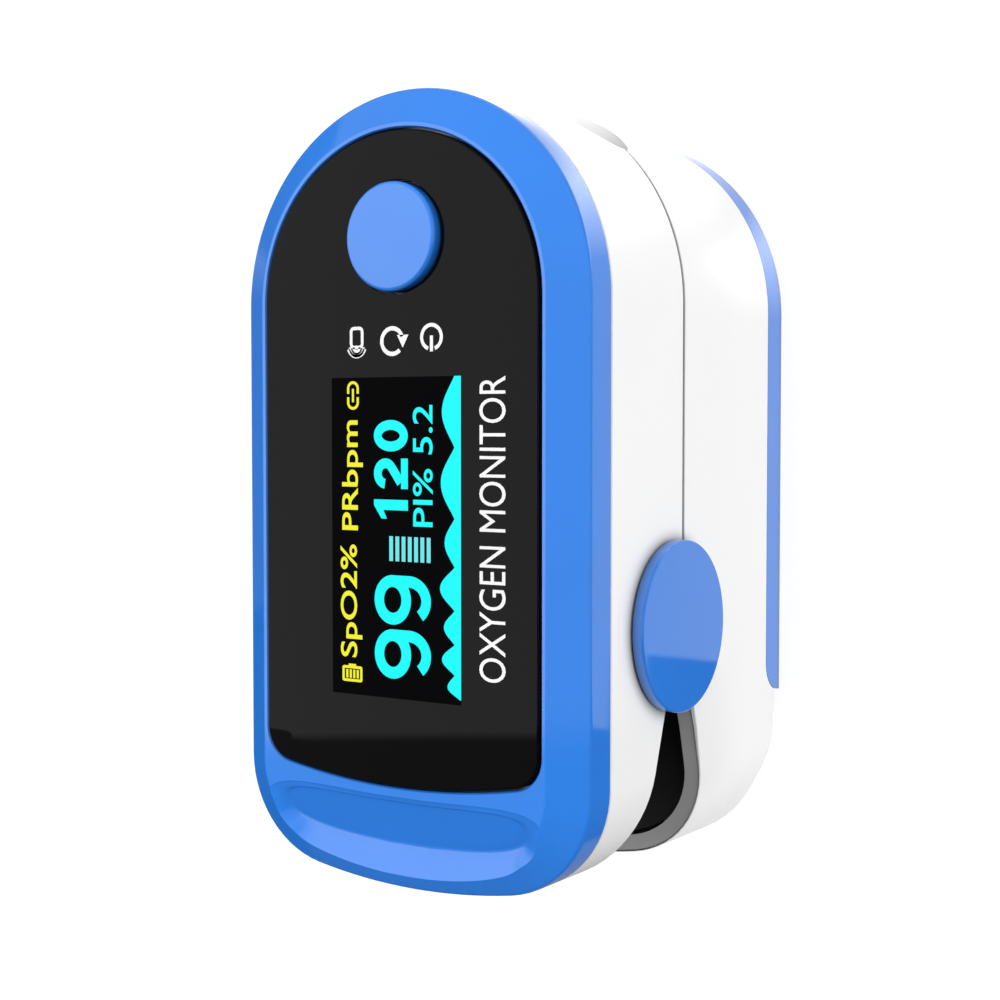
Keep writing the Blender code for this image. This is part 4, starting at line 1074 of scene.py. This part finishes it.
def screen_image():
    """The lit screen: a dark field, yellow names, cyan readings with their pulse trace, and pale bars."""
    lit = INK_BASE + INK_RISE
    field = bmesh.new()
    length, height = SCREEN_END - SCREEN_START, SCREEN_UP - SCREEN_DOWN
    slab(field, rounded_box(SCREEN_START, SCREEN_DOWN, length, height, 0.08 * MM), INK_BASE - 0.001 * MM)
    print_piece("screen_field", field, SCREEN_DARK)

    yellow = bmesh.new()
    lettering(yellow, "SpO2%", -12.18 * MM, 3.02 * MM, 8.14 * MM, 1.97 * MM, 0.012, lit)
    lettering(yellow, "PRbpm", -3.02 * MM, 2.92 * MM, 7.88 * MM, 1.90 * MM, 0.012, lit)
    battery_sign(yellow, lit)
    link_sign(yellow, lit)
    print_piece("screen_yellow_text", yellow, YELLOW)

    cyan = bmesh.new()
    small_up, small_height = -1.07 * MM, 3.0 * MM
    for along in (-13.45 * MM, -9.60 * MM):
        nine(cyan, along, -3.05 * MM, 3.52 * MM, 4.95 * MM, 0.84 * MM, lit)
    one(cyan, -2.10 * MM, small_up, 1.35 * MM, small_height, 0.74 * MM, lit)
    two(cyan, 0.02 * MM, small_up, 2.15 * MM, small_height, 0.70 * MM, lit)
    zero(cyan, 2.66 * MM, small_up, 2.22 * MM, small_height, 0.70 * MM, lit)
    lettering(cyan, "PI% 5.2", -2.58 * MM, -3.22 * MM, 8.50 * MM, 1.72 * MM, 0.008, lit)
    pulse_trace(cyan, lit)
    print_piece("screen_cyan_text", cyan, CYAN)

    bars = bmesh.new()
    start, end, thick, pitch = -5.09 * MM, -3.33 * MM, 0.33 * MM, 0.545
    for bar in range(7):
        up = (-3.02 + pitch * bar) * MM
        slab(bars, [(start, up), (end, up), (end, up + thick), (start, up + thick)], lit)
    print_piece("screen_strength_bars", bars, PALE_CYAN)


def closed_ring(bm, centre, radius, weight, base, steps):
    """A closed oval line."""
    strip(bm, arc(centre, radius, 0, 360, steps)[:-1], weight, base, True)


def zero(bm, along, up, width, height, weight, base):
    """A closed oval."""
    radius = ((width - weight) / 2, (height - weight) / 2)
    closed_ring(bm, (along + width / 2, up + height / 2), radius, weight, base, 48)


def one(bm, along, up, width, height, weight, base):
    """A digit with a flag at its top left."""
    right = along + width
    slab(bm, [(right - weight, up), (right, up), (right, up + height), (right - 0.55 * weight, up + height),
              (along, up + 0.78 * height), (along, up + 0.62 * height),
              (right - weight, up + 0.72 * height)], base)


def two(bm, along, up, width, height, weight, base):
    """A round top that runs down to a flat foot."""
    bowl = (width - weight) / 2
    centre = (along + width / 2, up + height - weight / 2 - bowl * 0.95)
    line = arc(centre, (bowl, bowl * 0.95), 175, -35, 30)
    foot = (along + weight * 0.62, up + weight * 0.9)
    end_along, end_up = line[-1]
    strip(bm, [*line, (end_along - 0.35 * bowl, end_up - 0.30 * bowl), foot], weight, base)
    right, foot_top = along + width, up + weight * 0.86
    slab(bm, [(along, up), (right, up), (right, foot_top), (along, foot_top)], base + OVERLAP_LIFT)


def nine(bm, along, up, width, height, weight, base):
    """A closed bowl with a tail that curls back under it."""
    across, bowl_up, tail_up = (width - weight) / 2, height * 0.24, height * 0.30
    centre = (along + width / 2, up + height - weight / 2 - bowl_up)
    low = (centre[0], up + weight / 2 + tail_up)
    closed_ring(bm, centre, (across, bowl_up), weight, base, 56)
    tail = [(centre[0] + across, centre[1]), *arc(low, (across, tail_up), 0, -140, 34)]
    strip(bm, tail, weight * 0.98, base + OVERLAP_LIFT)


def pulse_trace(bm, base):
    """The filled pulse wave: its beats widen along it, with rounded crests and pointed troughs."""
    start, floor = SCREEN_START + 0.35 * MM, SCREEN_DOWN
    beats = [0.075, 0.095, 0.105, 0.135, 0.15, 0.22, 0.22]
    crests = [1.15, 1.62, 1.45, 1.78, 1.38, 1.70, 1.60]
    trough = 0.55 * MM
    length = SCREEN_END - start
    outline = [(start, floor)]
    reached, previous, steps = 0.0, 0.1 * MM, 18
    for width, crest in zip(beats, crests):
        for step in range(1 if reached else 0, steps + 1):
            t = step / steps
            low = previous if t < 0.5 else trough
            swell = math.sin(math.pi * t) ** 1.15
            outline.append((start + (reached + width * t) * length, floor + low + (crest * MM - low) * swell))
        reached += width
        previous = trough
    outline.append((outline[-1][0], floor))
    slab(bm, outline, base)


def probe_sign(bm):
    """A fingertip with rings of light under it."""
    along, up = 10.4 * MM, 3.45 * MM
    base = (along - 0.35 * MM, up)
    strip(bm, rounded_box(base[0], up - 0.5 * MM, 1.35 * MM, 1.0 * MM, 0.25 * MM, 4), 0.24 * MM, closed=True)
    for radius in (0.28 * MM, 0.62 * MM):
        strip(bm, arc(base, radius, 90, 270, 14), 0.2 * MM)
    strip(bm, arc((along - 0.2 * MM, up), (0.8 * MM, 0.78 * MM), 110, 250, 16), 0.26 * MM)


def turn_sign(bm):
    """An open circle with an arrowhead, for turning the display."""
    along, up, rise = 10.42 * MM, 0.28 * MM, 0.92 * MM
    strip(bm, arc((along, up), (0.9 * MM, rise), 225, -70, 40), 0.3 * MM)
    back, half, tip_up = along + 0.42 * MM, 0.5 * MM, up - rise
    slab(bm, [(back, tip_up - half), (back, tip_up + half), (along - 0.48 * MM, tip_up)])


def power_sign(bm):
    """A broken circle with a bar in its gap."""
    along, up, radius, weight = 10.62 * MM, -3.12 * MM, 0.84 * MM, 0.26 * MM
    strip(bm, arc((along, up), (radius, radius), 160, -160, 44), weight)
    strip(bm, [(along - 1.0 * MM, up), (along + 0.1 * MM, up)], weight)


def printed_marks():
    """The white print on the window: a plain label and three signs under the key."""
    marks = bmesh.new()
    lettering(marks, "OXYGEN MONITOR", -13.05 * MM, -9.28 * MM, 20.9 * MM, 2.16 * MM, -0.001)
    print_piece("label_print", marks, INK_WHITE)

    icons = bmesh.new()
    probe_sign(icons)
    turn_sign(icons)
    power_sign(icons)
    print_piece("icon_print", icons, INK_WHITE)


# ---------------------------------------------------------------- inner parts keep their CAD shape

def dress(names, look):
    """Give CAD nodes a procedural material."""
    for name in names:
        slots = NODES[name].data.materials
        slots.clear()
        slots.append(look)


def dress_cad_nodes():
    dress(["upper_liner", "battery_tray"], BLACK)
    dress(["power_switch", "microcontroller", "sensor_amplifier"], CHIP)
    dress(["switch_plunger"], PLUNGER)
    dress(["main_board", "emitter_board", "detector_board"], BOARD)
    dress(["oled_screen"], GLASS)
    dress(["screen_flex"], FLEX)
    dress(["link_ribbon"], RIBBON)
    dress(["clock_crystal"], CAN)
    dress(["boost_coil"], FERRITE)
    dress(["emitter_lens", "detector_lens"], LENS)
    dress(["hinge_shaft", "mouth_bridge_contact", "tail_plus_contact", "tail_minus_contact"], STEEL)
    dress(["mouth_contact_spring", "tail_contact_spring"], WIRE)
    dress(["left_torsion_spring", "right_torsion_spring"], WIRE)
    dress(["left_upper_screw", "right_upper_screw", "left_lower_screw", "right_lower_screw"], SCREW)
    band_near, band_far = 1.5 * MM, 13 * MM
    left_end, right_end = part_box("left_battery")[1].y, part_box("right_battery")[0].y
    dress(["left_battery"], cell_wrap("left_battery_wrap", left_end - band_far, left_end - band_near))
    dress(["right_battery"], cell_wrap("right_battery_wrap", right_end + band_near, right_end + band_far))


# ---------------------------------------------------------------- floor, light and camera

TABLE_SEEN, TABLE_LIGHT = 0.9, 0.55
SOFTBOX_WAY = Vector((0.62, -0.05, 0.78))
CAMERA_PLACE = (-0.074545, -0.004565, 0.13096)
CAMERA_LOOK = Vector((0.5525, 0.0430, -0.8324))
CAMERA_RIGHT = Vector((-0.8332, 0.0, -0.5530))


def choose(tree, seen, unseen):
    """One strength where the camera looks at the backdrop itself and another where it lights the object."""
    path = node(tree, "ShaderNodeLightPath")
    mix = node(tree, "ShaderNodeMix", B=seen)
    join(path.outputs["Is Camera Ray"], mix.inputs["Factor"])
    if isinstance(unseen, float):
        mix.inputs["A"].default_value = unseen
    else:
        join(unseen, mix.inputs["A"])
    return mix.outputs["Result"]


def glow_look(name, grey):
    """A matt stage material that gives its own white light, whose strength is set afterwards."""
    made, tree, shader = new_material(name)
    shader.inputs["Base Color"].default_value = (grey, grey, grey, 1.0)
    shader.inputs["Specular IOR Level"].default_value = 0.0
    shader.inputs["Emission Color"].default_value = (1.0, 1.0, 1.0, 1.0)
    return made, tree, shader


def floor_look():
    """A plain pale table that glows a little, so that it stays even."""
    made, tree, shader = glow_look("table", 0.16)
    grain = noise(tree, 0.02, 2.0)
    roughen(tree, shader, grain.outputs["Fac"], 0.88, 0.92)
    join(choose(tree, TABLE_SEEN, TABLE_LIGHT), shader.inputs["Emission Strength"])
    return made


def reflector_look():
    """The light cards that lie on the table. Gloss mirrors them, and nothing else sees or is lit by them.
    A lit field reaches from the mouth side up to a step that lies nearer under the object than beside it,
    and a bright strip under the object ends short of that step."""
    made, tree, shader = glow_look("reflector", 0.0)
    parts = split(tree, own_space(tree))
    along = parts["Y"]
    wide = combine(tree, "ABSOLUTE", parts["X"])
    beside = spread(tree, wide, 15.2 * MM, 21.8 * MM, 30.5 * MM, 31.0 * MM)
    under = spread(tree, wide, 20.0 * MM, 0.0, 18.5 * MM, 20.5 * MM)
    beyond = combine(tree, "SUBTRACT", along, combine(tree, "ADD", beside, under))
    lit = spread(tree, beyond, 1.0, 0.06, -0.2 * MM, 0.2 * MM)
    rising = spread(tree, along, 2.5, 0.76, -36 * MM, -24 * MM)
    falling = spread(tree, along, 0.28, 1.0, -43.5 * MM, -38.5 * MM)
    near = spread(tree, wide, 1.0, 0.10, 60 * MM, 125 * MM)
    field = multiply(tree, lit, multiply(tree, rising, falling), near)
    beam = spread(tree, along, 75.0, 12.0, -18.5 * MM, -13 * MM)
    beam_end = spread(tree, along, 0.1, 1.0, -22.5 * MM, -19.5 * MM)
    strip_light = multiply(tree, under, multiply(tree, beam, beam_end))
    join(combine(tree, "ADD", field, strip_light), shader.inputs["Emission Strength"])
    return made


def stage_sheet(name, height, look):
    """A flat square of the stage, much wider than the object."""
    half, steps = 1.2, 24
    bm = bmesh.new()
    stops = [half * (2 * i / steps - 1) for i in range(steps + 1)]
    quads(bm, [[bm.verts.new((x, y, height)) for x in stops] for y in stops])
    sheet = new_object(name, bm)
    sheet.data.materials.append(look)
    return sheet


def make_floor():
    """The table, and the cards on it: gloss sees only the cards, and everything else sees only the table."""
    table = stage_sheet("table_floor", -0.02 * MM, floor_look())
    table.visible_glossy = False
    cards = stage_sheet("light_cards", -0.01 * MM, reflector_look())
    cards.visible_camera = False
    cards.visible_diffuse = False
    cards.visible_shadow = False
    cards.visible_transmission = False


def make_world():
    """A soft studio: an even surround, a large softbox over the display and a dark tail side."""
    world = bpy.data.worlds.new("studio")
    bpy.context.scene.world = world
    world.use_nodes = True
    tree = world.node_tree
    background = tree.nodes["Background"]
    direction = node(tree, "ShaderNodeTexCoord").outputs["Generated"]
    facing = node(tree, "ShaderNodeVectorMath", operation="DOT_PRODUCT")
    facing.inputs[1].default_value = SOFTBOX_WAY.normalized()
    join(direction, facing.inputs[0])
    softbox = spread(tree, facing.outputs["Value"], 0.36, 1.40, 0.80, 0.92)
    tail_side = spread(tree, split(tree, direction)["Y"], 1.0, 0.22, 0.173, 0.178)
    join(choose(tree, 1.0, multiply(tree, softbox, tail_side)), background.inputs["Strength"])
    background.inputs["Color"].default_value = (1.0, 1.0, 1.0, 1.0)


def make_sun(name, strength, spread_degrees, direction):
    """A soft light that shapes the surfaces and leaves no spot in their gloss."""
    light = bpy.data.lights.new(name, "SUN")
    light.energy = strength
    light.angle = math.radians(spread_degrees)
    sun = bpy.data.objects.new(name, light)
    bpy.context.scene.collection.objects.link(sun)
    sun.rotation_euler = Vector(direction).to_track_quat("Z", "Y").to_euler()
    sun.visible_glossy = False


def make_camera():
    data = bpy.data.cameras.new("camera")
    data.lens = 63.23
    data.sensor_width = 36.0
    data.clip_start, data.clip_end = 0.005, 20.0
    camera = bpy.data.objects.new("camera", data)
    bpy.context.scene.collection.objects.link(camera)
    look, right = CAMERA_LOOK.normalized(), CAMERA_RIGHT.normalized()
    turn = Matrix((right, right.cross(look).normalized(), -look)).transposed().to_4x4()
    camera.matrix_world = Matrix.Translation(CAMERA_PLACE) @ turn
    bpy.context.scene.camera = camera


# ---------------------------------------------------------------- build

make_camera()
make_floor()
make_world()
make_sun("key", 1.9, 50, (0.45, -0.30, 0.84))
make_sun("side_fill", 2.6, 80, (-0.86, -0.25, 0.25))
make_sun("tail_fill", 0.2, 80, (-0.25, 0.80, 0.40))
bpy.context.scene.view_settings.view_transform = "Standard"

front_bezel()
window_panel()
power_key()
upper_case()
lower_case()
battery_door()
lower_chassis()
pivot_disc("left_pivot_disc", "left_hinge_cap", -1)
pivot_disc("right_pivot_disc", "right_hinge_cap", 1)
soft_pads()
screen_image()
printed_marks()
dress_cad_nodes()
